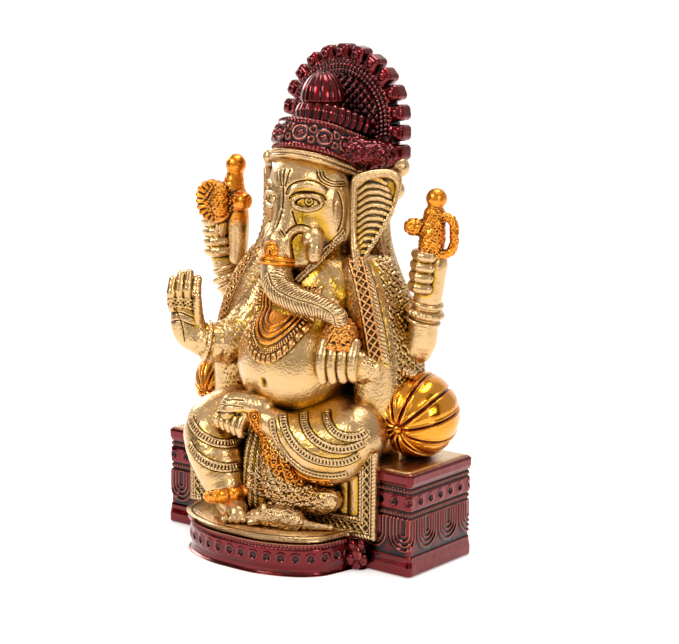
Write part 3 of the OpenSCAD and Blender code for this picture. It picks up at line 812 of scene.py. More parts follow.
def step_relief(s, z, total):
    """The step's rim: a row of ticks under the lip and a row of punched rings."""
    def strip(low, high):
        return np.clip((z - low) / 0.3, 0, 1) * np.clip((high - z) / 0.3, 0, 1)

    ticks = 0.5 + 0.5 * np.cos(2 * math.pi * s / 1.7)
    out = strip(STEP_TOP - 2.6, STEP_TOP - 0.4) * (0.75 * ticks - 0.3)
    pitch = total / round(total / 6.2)
    off = (s / pitch - np.round(s / pitch)) * pitch
    r = np.hypot(off, z - 7.4)
    out += -0.7 * np.clip(1 - (r / 1.7) ** 2, 0, 1) + 0.35 * np.exp(-((r - 1.9) / 0.45) ** 2)
    return out + 0.55 * np.exp(-(r / 0.7) ** 2)


def step_plan(inset=0.0):
    """The step's outline, from one cusp round the front to the other."""
    reach, half = -STEP_FRONT, STEP_HALF
    knots = [(half + 5.5, FRONT - 1), (half + 1.5, FRONT - 3.5), (half, -33), (half - 3, -43), (half - 11, -50.5),
             (half - 25, -reach + 1), (0, -reach)]
    knots = knots + [(-x, y) for x, y in knots[-2::-1]]
    line = curve([(x, y, 0) for x, y in knots], 1.0)[:, :2]
    line = np.vstack([line, [[-half - 5.5, FRONT + 4], [half + 5.5, FRONT + 4]]])
    middle = np.array([0, -30.0])
    away = line - middle
    return middle + away * (1 - inset / np.linalg.norm(away, axis=1, keepdims=True))


def build_pedestal():
    red = material("red")
    plan = rounded_box_plan(BASE_WIDTH / 2 - 0.6, BLOCK_DEPTH / 2 - 0.6, 1.6)
    profile = [[-1.2, 0], [0.6, 0.6], [0.7, 4], [0.1, 7], [0, BLOCK_TOP - 5], [0.5, BLOCK_TOP - 4.5],
               [0.6, BLOCK_TOP - 1.2], [-0.6, BLOCK_TOP - 0.1]]
    add_piece("arm_blocks", wall(plan, profile, block_relief, 0.42), red, ["pedestal"])
    profile = [[-1.2, 0], [0.2, 0.6], [0.5, 2.5], [-0.2, 4.5], [-0.2, STEP_TOP - 3], [0.5, STEP_TOP - 2.2],
               [0.3, STEP_TOP - 0.6], [-1.4, STEP_TOP]]
    add_piece("step_rim", wall(step_plan(1.0), profile, step_relief, 0.42), red, [])
    petals = []
    for side in (-1, 1):
        for dx, dz, r in ((0, 7.5, 3.9), (-3.0, 5.0, 3.0), (3.0, 5.0, 3.0), (-2.0, 11, 2.7), (2.0, 11, 2.7), (0, 2.6, 2.6)):
            petals.append([side * (STEP_HALF + 3.0) + dx * 0.8, FRONT - 3.9 + dx * side * 0.5, dz, r])
    petals = np.array(petals)
    radii = np.stack([petals[:, 3], petals[:, 3] * 0.6, petals[:, 3]], 1)
    add_piece("cusp_rosettes", bead_cloud(petals[:, :3], radii), red, [])


def build_plates():
    """The brass plates on top of the step and the blocks."""
    brass = material("brass")
    profile = [[-1.5, STEP_TOP - 0.8], [0.1, STEP_TOP - 0.3], [0.5, STEP_TOP + 0.8], [0.3, STEP_TOP + 2.2],
               [-0.8, FLOOR_TOP], [-2.2, FLOOR_TOP - 0.5], [-3.4, FLOOR_TOP - 0.2]]
    add_piece("step_plate", wall(step_plan(2.4), profile, None, 0.6), brass, ["footplate"])
    plan = rounded_box_plan(BASE_WIDTH / 2 - 2.2, BLOCK_DEPTH / 2 - 2.0, 2.0)
    profile = [[0, BLOCK_TOP - 1.0], [0.4, BLOCK_TOP - 0.1], [0, BLOCK_TOP + 0.35], [-2, BLOCK_TOP + 0.4]]
    add_piece("block_plate", wall(plan, profile, None, 0.8), brass)


def panel_relief(width, height):
    """Vertical flutes inside a border of crossed slats with beaded rails."""
    border = 7.0

    def relief(a, b):
        edge = np.minimum(np.minimum(a, width - a), b)
        along = np.where(b < np.minimum(a, width - a), a, b)
        slats = lattice(2.4, 1.0, 3.4)(along, edge - 4.4)
        rail = rope(1.0, 1.1, 1.6)(along, edge - 0.9) + rope(0.8, 0.8, 1.6)(along, edge - border - 0.7)
        flutes = 0.9 * np.abs(np.cos(math.pi * (a - width / 2) / 5.6)) ** 0.6 - 1.2
        return np.where(edge < border + 1.4, slats + rail, flutes)

    return relief


def build_seat():
    brass = material("brass")
    low, high = corners("seat_front")
    low, high = low + [2.0, 0, 0], high - [2.0, 0, 0]
    size = (high[0] - low[0], high[2] - low[2] + 3)
    panel = tablet([low[0], high[1] + 0.5, low[2]], [1, 0, 0], [0, 0, 1], size, high[1] - low[1] + 0.2,
                   panel_relief(*size))
    add_piece("seat_panel", panel, brass, ["seat_front"])
    low, high = corners("seat_slab")
    plan = rounded_box_plan((high[0] - low[0]) / 2, (high[1] - low[1]) / 2, 3, (0, (low[1] + high[1]) / 2))
    profile = [[-0.5, low[2]], [0, low[2] + 1], [0, high[2] - 1], [-1.5, high[2]]]
    add_piece("seat_cushion", wall(plan, profile, None, 0.7), brass, ["seat_slab"])


def build_backrest():
    """The brass back: broad shoulders of cloth that rise to the arch."""
    low, high = corners("backrest")
    middle = (low[1] + high[1]) / 2
    clay = Clay([low[0] - 12, low[1] - 20, low[2] - 2], [high[0] + 12, high[1] + 3, high[2] + 8], 0.6)
    outline = [[0, low[2]], [38, low[2]], [41, 70], [40, 96], [37.5, 108], [31, 120], [26, 132], [24.5, 146],
               [26, high[2]], [0, high[2] + 1]]
    outline = outline + [[-x, z] for x, z in outline[-2:0:-1]]
    clay.plate(outline, (high[1] - low[1]) / 2, [0, middle, 0], [1, 0, 0], [0, 0, 1], 2.5)
    clay.ball([-23.5, -5, 167], [2.8, 2.8, 3])
    for side in (-1, 1):
        clay.ball([side * 29.5, 17, 164.5], [5, 4.5, 4.8], blend=0.8)
        clay.ball([side * 27.5, 17, 154.5], [4.6, 4.5, 4.6], blend=0.8)
    skin = clay.skin().smooth(2)
    for side in (-1, 1):
        edge = flip([[39, middle, 96], [36.5, middle, 108], [30.5, middle, 120], [25.5, middle, 132]], side)
        skin.trace(edge, 2.4, rope(1.6, 0.8, 2.6, 0.4), depth=9)
    skin.emboss(np.where(skin.points[:, 1] < middle, weave(skin.points, 2.2, 0.25), 0))
    add_piece("throne_back", skin, material("brass"), ["backrest"])


def bolster_skin(side):
    """A round cushion with double piped seams that gather at its front and back."""
    middle = BOLSTER * [side, 1, 1]
    middle[2] = BLOCK_TOP + BOLSTER_R - 0.3
    pole = unit(np.array([side * 0.13, -0.97, -0.2]))
    u = unit(np.cross(pole, [0, 0, 1.0]))
    v = np.cross(pole, u)
    rings_n, round_n = 150, 300
    th = np.linspace(0, math.pi, rings_n)[:, None]
    ph = np.linspace(0, 2 * math.pi, round_n, endpoint=False)[None]
    seams = 11
    off = (ph * seams / (2 * math.pi) + 0.3) % 1.0
    off = np.minimum(off, 1 - off) * 2 * math.pi / seams * np.sin(th) * BOLSTER_R
    lobe = 0.5 * (1 - np.exp(-(off / 3.0) ** 2))
    seam = 0.5 * np.exp(-((off - 1.0) / 0.4) ** 2) - 0.9 * np.exp(-(off / 0.55) ** 2)
    gather = np.exp(-(np.minimum(th, math.pi - th) / 0.16) ** 2)
    r = BOLSTER_R - 0.5 + lobe + seam * (1 - gather) - 2.2 * gather
    points = (middle + r[..., None] * (np.cos(th)[..., None] * pole
              + np.sin(th)[..., None] * (np.cos(ph)[..., None] * u + np.sin(ph)[..., None] * v)))
    i, j = np.meshgrid(np.arange(rings_n - 1), np.arange(round_n), indexing="ij")
    k = (j + 1) % round_n
    quads = np.stack([i * round_n + j, i * round_n + k, (i + 1) * round_n + k, (i + 1) * round_n + j], -1)
    knob = bead_cloud([middle + pole * (BOLSTER_R - 2.0), middle - pole * (BOLSTER_R - 2.0)], 2.0)
    return merged([Skin(points.reshape(-1, 3), quads.reshape(-1, 4), 0.4), knob])


def build_bolsters():
    for side, word in ((1, "left"), (-1, "right")):
        add_piece("bolster_cushion_" + word, bolster_skin(side), material("amber"), ["bolster_" + word])
    brass = material("brass")
    for side, word in ((1, "left"), (-1, "right")):
        middle = BOLSTER * [side, 1, 1]
        a = np.radians(np.linspace(60, 262, 30))
        piping = np.stack([middle[0] - side * 1.5 + side * 19.6 * np.cos(a), np.full(30, middle[1] - 8.5),
                           BLOCK_TOP + BOLSTER_R + 19.6 * np.sin(a)], 1)
        piping = np.hstack([piping[2:], np.full((28, 1), 1.5)])
        clay = Clay(piping[:, :3].min(0) - 4, piping[:, :3].max(0) + 4, 0.42)
        clay.limb(piping)
        clay.brick([middle[0] - side * 9, middle[1] - 4, BLOCK_TOP + 2.4], [10, 9, 2.6], rounding=1.5, blend=2)
        skin = clay.skin().trace(piping[:, :3], 2.2, rope(1.6, 0.7, 1.9, 0.0), depth=3)
        add_piece("bolster_piping_" + word, skin, brass)


# ---------------------------------------------------------------- crown and arch

ARCH_R = (corners("crown_arch")[1] - corners("crown_arch")[0])[0] / 2
ARCH_Y = corners("crown_arch")[0][1]
ARCH_DEPTH = (corners("crown_arch")[1] - corners("crown_arch")[0])[1]
ARCH_Z = IDOL_TOP - ARCH_R
ARCH_FOOT = ARCH_Z - 12
TOOTH = 6.0


def horseshoe(radius, pitch=1.0):
    """Stations up one leg of the arch, round its half circle and down the other leg: place and angle."""
    leg = ARCH_Z - ARCH_FOOT
    total = 2 * leg + math.pi * radius
    out = []
    for s in np.arange(0, total + 1e-6, total / round(total / pitch)):
        if s < leg:
            out.append([radius, ARCH_FOOT + s, 0.0])
        elif s > total - leg:
            out.append([-radius, ARCH_FOOT + total - s, 180.0])
        else:
            angle = (s - leg) / radius
            out.append([radius * math.cos(angle), ARCH_Z + radius * math.sin(angle), math.degrees(angle)])
    return out


def build_arch():
    red = material("red")
    y = ARCH_Y + ARCH_DEPTH / 2
    body = ARCH_R - TOOTH
    clay = Clay([-ARCH_R - 2, ARCH_Y - 24, ARCH_FOOT - 10], [ARCH_R + 2, ARCH_Y + ARCH_DEPTH + 2, IDOL_TOP + 2], 0.42)
    clay.plate([[x, z] for x, z, _ in horseshoe(body, 4.0)], ARCH_DEPTH / 2 - 0.6, [0, y, 0], [1, 0, 0], [0, 0, 1], 0.8)
    knobs, knob_radii = [], []
    for x, z, angle in horseshoe(ARCH_R - TOOTH / 2, 8.6)[:]:
        clay.brick([x * 0.985, y, z], [TOOTH / 2 + 0.6, ARCH_DEPTH / 2, 3.5], (0, -angle, 0), 2.2, 0.8)
        knobs.append([x * 0.99, ARCH_Y - 0.1, z])
        knob_radii.append([1.9, 1.1, 1.9])
    clay.plate([[x * 0.97, z] for x, z, _ in horseshoe(body - 6.5, 4.0)], ARCH_DEPTH, [0, ARCH_Y - ARCH_DEPTH + 1.2, 0],
               [1, 0, 0], [0, 0, 1], 0.4, cut=True)
    for side in (-1, 1):
        clay.limb(flip([[15, 0, 172, 6], [21, 6, 169.5, 7], [25, 13, 169.5, 6.5]], side), blend=2)
    skin = clay.skin()
    for radius, size, pitch in ((body - 0.4, 1.0, 1.9), (body - 2.6, 1.0, 1.9)):
        line = [[x, ARCH_Y, z] for x, z, _ in horseshoe(radius, 3.0)]
        skin.trace(line, 1.4, rope(1.1, 0.9, pitch, 0), depth=2)
    line = [[x, ARCH_Y, z] for x, z, _ in horseshoe(body - 4.6, 3.0)]
    skin.trace(line, 1.4, studs(0.8, 0.7, 1.8), depth=2)
    skin.emboss(np.clip(ARCH_Y - 1.5 - skin.points[:, 1], 0, 1) * weave(skin.points, 2.8, 0.45))
    inner = (np.hypot(skin.points[:, 0], np.maximum(skin.points[:, 2] - ARCH_Z, 0)) < body - 6.6) \
        & (skin.points[:, 1] < y)
    scale = 2 * math.pi / 4.2
    diamonds = np.abs(np.sin(scale * (skin.points[:, 0] + skin.points[:, 2]) / 2)
                      * np.sin(scale * (skin.points[:, 0] - skin.points[:, 2]) / 2))
    skin.emboss(np.where(inner, 0.8 * diamonds, 0))
    add_piece("arch_body", skin, red, ["crown_arch"])
    add_piece("arch_knobs", bead_cloud(knobs, knob_radii), red, [])


CROWN = np.array([0, -6.4, 168.0])
CROWN_TURN = (-20, 0, 0)


def crown_plan(radius, back=13.0):
    """A crown tier's plan: round in front and broadening back to the arch."""
    a = np.radians(np.linspace(180, 360, 40))
    front = np.stack([radius * np.cos(a), radius * 0.96 * np.sin(a)], 1)
    return np.vstack([front, [[radius * 1.12, back * 0.5], [radius * 1.25, back], [radius * 1.3, back + 4],
                              [-radius * 1.3, back + 4], [-radius * 1.25, back], [-radius * 1.12, back * 0.5]]])


def scrolls(s, z, low, high, pitch):
    """A band of round rosettes with curled leaves between them."""
    mid = (low + high) / 2
    half = (high - low) / 2
    off = (s / pitch - np.round(s / pitch)) * pitch
    r = np.hypot(off, z - mid)
    rosette = np.exp(-((r - half * 0.62) / 0.5) ** 2) + 1.2 * np.exp(-(r / (half * 0.3)) ** 2)
    gap = pitch / 2 - np.abs(off)
    curl = np.hypot(gap, z - mid - half * 0.45)
    leaf = np.exp(-((curl - 1.3) / 0.45) ** 2)
    curl = np.hypot(gap, z - mid + half * 0.45)
    leaf = np.maximum(leaf, np.exp(-((curl - 1.1) / 0.45) ** 2))
    inside = np.clip((z - low) / 0.4, 0, 1) * np.clip((high - z) / 0.4, 0, 1)
    return inside * np.maximum(rosette, leaf * (r > half * 0.8)) * 1.2


def build_crown():
    red = material("red")
    tilt = (CROWN_TURN, CROWN)

    def band_relief(s, z, total):
        cord = 0.5 + 0.5 * np.cos(2 * math.pi * (s + z) / 1.6)
        return 0.5 * cord * np.exp(-((z + 1.2) / 0.8) ** 2)

    profile = [[-2, -4.4], [0, -4], [0.5, -3], [-0.4, -2.2], [0.3, -1.2], [-0.3, -0.2], [-2, 0]]
    add_piece("crown_rim", wall(crown_plan(16.6), profile, band_relief, 0.4, tilt), material("brass"), ["crown_band"])

    def tier_relief(s, z, total):
        pitch = total / round(total / 9.6)
        cord = 0.5 + 0.5 * np.cos(2 * math.pi * (s + 0.5 * z) / 1.7)
        edge = np.exp(-((z - 1.2) / 0.7) ** 2) + np.exp(-((z - 12.6) / 0.7) ** 2)
        return scrolls(s, z, 2.2, 11.4, pitch) + 0.9 * cord * edge

    profile = [[-2, -0.6], [0, 0], [0.9, 2], [1.3, 6], [0.8, 11], [0, 13.4], [-3, 14.4], [-8, 14.8]]
    add_piece("crown_tier", wall(crown_plan(15.8), profile, tier_relief, 0.4, tilt), red, ["crown"])

    def lotus_relief(s, z, total):
        pitch = total / round(total / 3.6)
        rib = np.abs(np.cos(math.pi * s / pitch))
        inside = np.clip((z - 14.6) / 0.5, 0, 1) * np.clip((22.5 - z) / 0.5, 0, 1)
        return inside * (1.3 * rib ** 0.6 - 0.4)

    profile = [[-3, 13], [-0.5, 14], [0.4, 16], [1.2, 19], [0.8, 21.5], [-0.6, 23], [-4, 24]]
    plan = np.array(crown_plan(11.8, 8)) + [0, 5.0]
    add_piece("crown_lotus", wall(plan, profile, lotus_relief, 0.4, tilt), red, [])

    def dome_relief(s, z, total):
        pitch = total / 13
        rib = np.abs((s / pitch - np.round(s / pitch)) * 2)
        return 0.9 * np.sqrt(np.clip(1 - (1 - rib) ** 4, 0, 1)) - 0.9

    top = corners("crown_dome")[1][2]
    middle = centre("crown_dome")
    rows = np.radians(np.linspace(0, 86, 24))
    profile = [[-1.5, top - 14]] + [[-9.2 + 9.2 * math.cos(a), top - 12 + 12 * math.sin(a)] for a in rows]
    plan = oval_plan(9.4, 9.4, (0, 2.0))
    add_piece("crown_dome_ribbed", wall(plan, profile, dome_relief, 0.35), red, ["crown_dome"])


# ---------------------------------------------------------------- the figure

def build_torso():
    clay = Clay([-36, -46, 44], [36, 14, 134], bpy.context.scene.idol_sizes.cell + 0.1)
    clay.ball([0, -15, 82], [26.5, 22.5, 25.5])
    clay.ball([0, -4, 108], [25, 14, 19], blend=6)
    clay.ball([0, -6, 60], [28, 16, 15], blend=6)
    for side in (-1, 1):
        clay.ball([side * 10, -13, 107], [12, 10, 10], blend=5)
        clay.limb(flip([[12, -4, 121, 8], [27, -3, 114, 8.5]], side), blend=4)
    clay.ball([2, -8.5, 116], [20, 12.5, 14], blend=5)
    clay.ball([4, -14, 105], [19, 11.5, 12], blend=5)
    clay.ball([0, -37.6, 75.5], [1.7, 2.2, 2.3], blend=1.0, cut=True)
    skin = clay.skin().smooth(3)
    x, y, z = skin.points.T
    side = np.clip((-x - 9) / 3, 0, 1) * np.clip((z - 88) / 3, 0, 1)
    skin.emboss(side * weave(skin.points, 2.2, 0.3))
    skin.emboss(np.clip((x - 6) / 4, 0, 1) * np.clip((z - 98) / 4, 0, 1) * weave(skin.points, 3.1, 0.1))
    necklace_band(skin)
    add_piece("belly", skin, material("brass"), ["torso", "collar"])


FROM_FRONT = np.array([0.0, -1.0, 0.0])
FROM_CORNER = np.array([0.61, -0.79, 0.0])


def arc(middle, half, start, stop, count=9):
    """Part of an oval, drawn flat as [across, up], from one angle to another."""
    angles = np.radians(np.linspace(start, stop, count))
    return [[middle[0] + half[0] * math.cos(a), middle[1] + half[1] * math.sin(a)] for a in angles]


DRAWN = {
    "upper_lid": (FROM_CORNER, arc((-4.5, 151), (6, 3), 180, 0)),
    "lower_lid": (FROM_CORNER, arc((-4.5, 151), (6, 3), 180, 360)),
    "iris": (FROM_CORNER, arc((-4, 151.5), (2, 2), 0, 330, 12)),
    "pupil": (FROM_CORNER, arc((-4, 151.5), (0.6, 0.6), 0, 300)),
    "brow": (FROM_CORNER, arc((-4.5, 154), (7.5, 4.5), 180, 20)),
    "lid_crease": (FROM_CORNER, arc((-4.5, 152.5), (7.5, 3), 180, 0)),
    "crease_a": (FROM_CORNER, arc((2.5, 147), (8, 12), 40, -40)),
    "socket": (FROM_CORNER, [[-12, 126]] + arc((-7, 134), (5.5, 6), 180, 25)),
    "bridge": (FROM_FRONT, [[1, 147], [0, 141]]),
    "root_a": (FROM_FRONT, [[5.5, 147], [7, 142.5]]),
    "oval": (FROM_FRONT, [[1.5, 137], [3.5, 139]]),
    "leaf_rim": (FROM_CORNER, arc((-20, 131), (2.5, 3.5), 0, 330, 12)),
    "leaf_heart": (FROM_CORNER, arc((-20, 130.5), (1.2, 2), 0, 330, 12)),
    "neck_band": (FROM_CORNER, [[10.5 - 20 * t, 137 - 20 * t] for t in np.linspace(0, 1, 8)]),
    "stole_border": (FROM_CORNER, [[15 + 9.5 * t ** 0.8, 129 - 41 * t] for t in np.linspace(0, 1, 7)]),
    "lap_a": (FROM_CORNER, arc((4, 61), (22.5, 20.5), 180, 292)),
    "lap_b": (FROM_CORNER, arc((6, 64), (20, 17), 180, 305)),
    "lap_c": (FROM_CORNER, arc((9.5, 64.5), (15, 11.5), 180, 310)),
    "lap_d": (FROM_CORNER, arc((14, 66), (10, 8), 180, 310)),
    "lap_border": (FROM_CORNER, arc((2, 66), (28.5, 30), 182, 278)),
}
for letter, grow in zip("abc", (0, -1.3, 1.3)):
    DRAWN["temple_" + letter] = (FROM_CORNER, arc((9, 163.5), (8 + grow, 5 + 0.8 * grow), 180, 288))
for letter, lean in zip("abc", (-1, 0, 1)):
    foot = 149 if lean == 0 else 158
    DRAWN["tilak_" + letter] = (FROM_FRONT, [[1 + 2.5 * lean, 164], [1 + lean, foot]])
for letter, rise in zip("abc", (0, 3.6, -3.2)):
    DRAWN["hem_" + letter] = (FROM_CORNER, arc((-13, 37 + rise), (17, 7.5), 200, 325))
for letter, drop in zip("ab", (0, 9.5)):
    DRAWN["shin_" + letter] = (FROM_CORNER, arc((-36, 60 - drop), (20, 12), 200, 290))


def lay(skin, name, side=1):
    """A drawn line, laid on a skin where it is first met from the way that the line is drawn."""
    if name not in DRAWN:
        return None
    sight, spots = DRAWN[name]
    across = np.array([-sight[1], sight[0], 0])
    points = flip(skin.points, side)
    aside = points @ across
    toward = points @ sight
    path = []
    for a, up in spots:
        near = (aside - a) ** 2 + (points[:, 2] - up) ** 2 < 1.0
        if near.any():
            path.append(across * a + sight * toward[near].max() + np.array([0, 0, up]))
    return flip(np.array(path), side) if len(path) > 1 else None


def necklace_band(skin):
    """The short band round the neck: two ticked rows between rails."""
    for name, side in (("neck_band", 1), ("neck_band", -1)):
        path = lay(skin, name, side)
        if path is not None:
            for shift in (-1.3, 1.3):
                skin.trace(path + [0.6 * side * shift, 0, 0.8 * shift], 1.6, ladder(1.2, 1.0, 1.4), depth=4)


def build_head():
    clay = Clay([-26, -36, 118], [28, 14, 178], bpy.context.scene.idol_sizes.cell - 0.06)
    clay.ball([0, -7, 152], [16.8, 17, 22])
    clay.ball([0, -14, 161], [11, 11, 9], blend=4)
    for side in (-1, 1):
        clay.ball([side * 7.6, -12.5, 151], [7.6, 8.2, 12], blend=3)
        clay.ball([side * 14, -6, 146], [6.5, 9, 17], blend=4)
        clay.ball([side * 6.5, -15.5, 138], [7.4, 7.4, 9], blend=3)
    clay.limb([[0, -18.5, 160, 6], [0, -19.5, 150, 6.2], [-0.2, -21, 141, 6.8], [-1.4, -25, 131, 6.9]], blend=3)
    clay.ball([2, -15, 129], [11, 10, 9], blend=3)
    clay.ball([4, -20, 125.5], [6, 4.6, 3.4], blend=2)
    clay.limb([[1, -7, 106, 13], [1, -7, 130, 13]], blend=4)
    for side in (-1, 1):
        clay.ball([side * 11.5, -24.2, 152.4], [6.6, 4, 4.6], (0, 0, side * 33), blend=2.5, cut=True)
        clay.ball([side * 9.7, -17.7, 152.2], [5.6, 3.2, 3.3], (0, 0, side * 33), blend=0.8)
    skin = clay.skin().smooth(2)
    for side in (-1, 1):
        skin.trace(lay(skin, "upper_lid", side), 2.0, ridge(0.9, 0.75))
        skin.trace(lay(skin, "upper_lid", side), 2.0, lambda s, t: -0.5 * np.exp(-((t - 1.2) / 0.4) ** 2))
        skin.trace(lay(skin, "lower_lid", side), 2.0, ridge(0.8, 0.55))
        skin.trace(lay(skin, "brow", side), 2.4, lambda s, t: 0.8 * np.exp(-(t / 0.9) ** 2) - 0.5 * np.exp(-((t + 1.8) / 0.4) ** 2))
        skin.trace(lay(skin, "iris", side), 1.2, groove(0.45, 0.5), closed=True)
        skin.trace(lay(skin, "pupil", side), 1.4, groove(0.9, 0.7), closed=True)
        for name in ("temple_a", "temple_b", "temple_c", "temple_d", "crease_a", "crease_b", "lid_crease"):
            skin.trace(lay(skin, name, side), 1.2, groove(0.5, 0.55))
        skin.trace(lay(skin, "socket", side), 2.2, lambda s, t: 0.9 * np.exp(-(t / 1.0) ** 2) - 0.6 * np.exp(-((np.abs(t) - 1.9) / 0.4) ** 2))
    for name in ("tilak_a", "tilak_b", "tilak_c", "tilak_d", "bridge", "root_a", "root_b", "jaw"):
        skin.trace(lay(skin, name), 1.2, groove(0.5, 0.6))
    skin.trace(lay(skin, "oval"), 2.0, lambda s, t: 0.5 * (np.abs(t) < 1.6) * np.cos(2 * math.pi * s / 1.1) - groove(0.4, 0.3)(s, np.abs(t) - 1.7))
    skin.trace(lay(skin, "leaf_rim"), 1.5, ridge(0.9, 0.7), 1.0, closed=True)
    skin.trace(lay(skin, "leaf_heart"), 2.4, ridge(1.0, 0.8), 1.0, closed=True)
    necklace_band(skin)
    add_piece("head_front", skin, material("brass"), ["head"])


def build_trunk():
    clay = Clay([-14, -46, 88], [46, -10, 146], bpy.context.scene.idol_sizes.cell - 0.04)
    stations = np.array([[-1.2, -24.5, 134, 6.6], [-1.5, -26, 124.5, 6.8], [0.6, -28.5, 119, 6.8], [4.4, -30, 114.4, 6.2],
               [13.3, -30, 111.2, 5.7], [20, -29, 110, 5.3], [25.3, -28, 108.9, 4.8], [30.5, -25.8, 105.9, 4],
               [31, -24, 101.5, 3.4]])
    clay.limb(stations)
    skin = clay.skin().smooth(1)
    middle = stations[2:, :3] + stations[2:, 3:] * unit(np.array([0.05, -0.92, 0.38]))
    skin.trace(middle, 7.5, feathers(7.0, 0.5, 1.5), depth=6)
    add_piece("trunk_curl", skin, material("brass"), ["trunk"])
    ring = ring_band([-1.4, -25.9, 126], 6.9, [0.0, 0.16, 1], 2.0, lambda s, t: -0.7 * np.exp(-(t / 0.5) ** 2))
    ring.lacquer[:] = 1
    add_piece("trunk_band", ring, material("brass"), ["trunk_ring"])


EAR_OUTLINE = [[-1.2, 16], [3, 18.5], [9, 19.6], [16, 19.3], [19.8, 16], [19, 9], [16.8, 2.4], [13.2, -4],
               [9.7, -9.6], [4.5, -17.6], [1.2, -22], [-1.2, -16], [-2, -7], [-2, 5]]


def build_ears():
    for side, word in ((1, "left"), (-1, "right")):
        origin = np.array([side * 23.6, -5.6, 145.0])
        across = np.array([side * 0.643, 0.766, 0])
        up = np.array([0, 0, 1.0])
        clay = Clay(origin + np.array([-22, -8, -31]), origin + np.array([22, 20, 24]), 0.38)
        clay.plate(EAR_OUTLINE, 1.9, origin, across, up, 1.0)
        out = np.cross(across, up) * side
        out = out if out[1] < 0 else -out
        shell = [[x * 0.78 + 2.0, z * 0.8 + 0.5] for x, z in EAR_OUTLINE]
        clay.plate(shell, 1.0, origin + out * 1.9, across, up, 0.8, blend=0.8, cut=True)
        skin = clay.skin().smooth(1)
        for n in range(12):
            z = 14.5 - 2.75 * n
            width = 15.5 - 0.022 * (z - 4) ** 2
            stations = ((1.2, -1.6), (width * 0.35, 0.9), (width * 0.7, 0.9), (width, -0.9))
            rib = [origin + across * a + up * (z + b) + out * 1.3 for a, b in stations]
            skin.trace(rib, 1.3, ridge(0.8, 0.42), depth=2.5)
        low = np.clip((139 - skin.points[:, 2]) / 16, 0, 1.2)
        skin.points += low[:, None] ** 1.3 * 6.5 * np.array([side * 0.55, -0.8, 0.0])
        add_piece("ear_" + word, skin, material("brass"), [word + "_ear"])


def build_tusks():
    for side, word in ((1, "left"), (-1, "right")):
        clay = Clay(flip([[2, -36, 122], [20, -12, 146]], side).min(0), flip([[2, -36, 122], [20, -12, 146]], side).max(0),
                    0.36)
        if side > 0:
            clay.limb([[8.5, -15, 138.5, 5.4], [11.5, -18.5, 135.5, 5.2]])
            clay.limb([[13.2, -18.5, 136.5, 3.3], [14.6, -21, 132.5, 3.5], [14.8, -21.5, 128.4, 3.1]], blend=0.2)
        else:
            clay.limb([[-8, -14.5, 138, 4.4], [-9.5, -15.5, 133, 3.2]])
        add_piece("tusk_" + word, clay.skin().smooth(1), material("brass"), [word + "_tusk"])


def finger(clay, root, tip, radius):
    """One finger with a slight waist at its joint and a rounded tip."""
    root, tip = np.array(root, float), np.array(tip, float)
    mid = (root + tip) / 2
    clay.limb([[*root, radius], [*mid, radius * 0.88], [*tip, radius * 0.82]], blend=0.5, step=2)


def build_front_right_arm():
    clay = Clay([-54, -48, 70], [-12, 8, 126], 0.4)
    clay.limb([[-24, -4, 110, 9], [-28, -8, 97, 11], [-30, -13, 89, 11.2], [-34, -20, 86.5, 10],
               [-38.5, -27, 87, 8], [-41.5, -31, 89, 7]])
    clay.ball([-44.6, -34.4, 96.5], [7.4, 4.4, 11.5], (-4, 0, 30), blend=2.5)
    for n, length in enumerate((12.5, 15.0, 15.5, 13.0)):
        off = (n - 1.5) * 3.6
        root = np.array([-44.6 + off * 0.866, -35.6 + off * 0.5, 102.0])
        knuckle = root + [-0.1, -0.9, length * 0.55]
        tip = root + [-0.3, 0.4, length]
        clay.limb([[*root, 2.3], [*knuckle, 2.2], [*tip, 1.9]], blend=0.3, step=2)
        clay.ball(knuckle, 2.35, blend=0.4)
    finger(clay, [-39.6, -33.0, 94], [-38.4, -34.8, 107], 2.2)
    skin = clay.skin().smooth(1)
    for rise in (96, 99.5):
        skin.trace([[-50, -40, rise], [-45, -39, rise + 1.2], [-40, -36, rise - 0.8]], 1.0, groove(0.45, 0.45))
    skin.trace([[-47, -40, 102], [-44, -39, 96], [-43, -37.5, 89]], 1.0, groove(0.45, 0.45))
    skin.trace([[-51, -40, 104], [-45, -39, 105], [-39, -36, 104]], 2.6, lattice(2.0, 0.5, 2.2), depth=5)
    x, y, z = skin.points.T
    skin.emboss(np.clip((x + 41) / 3, 0, 1) * weave(skin.points, 3.2, 0.2))
    add_piece("blessing_arm", skin, material("brass"), ["front_right_arm"])


def build_front_left_arm():
    clay = Clay([12, -40, 66], [50, 10, 128], 0.4)
    clay.limb([[26, -3, 114, 9], [34, -6, 98, 9], [38.5, -8, 86, 8.6], [38, -12, 83, 7.8], [34.5, -17, 85, 7.2]])
    for n in range(4):
        off = (n - 1.5) * 4.5
        x, y = 32.0 + off * 0.86, -26.8 + off * 0.4
        clay.limb([[x - 0.5, y + 2, 95, 2.3], [x, y - 0.6, 90, 2.6], [x + 0.2, y - 1.4, 84, 2.35],
                   [x + 0.4, y - 0.6, 79 + 0.6 * n, 2.0]], blend=0.25, step=2)
    skin = clay.skin().smooth(1)
    skin.emboss(np.clip((skin.points[:, 1] + 22) / 3, 0, 1) * weave(skin.points, 2.8, 0.3))
    add_piece("giving_arm", skin, material("brass"), ["front_left_arm"])


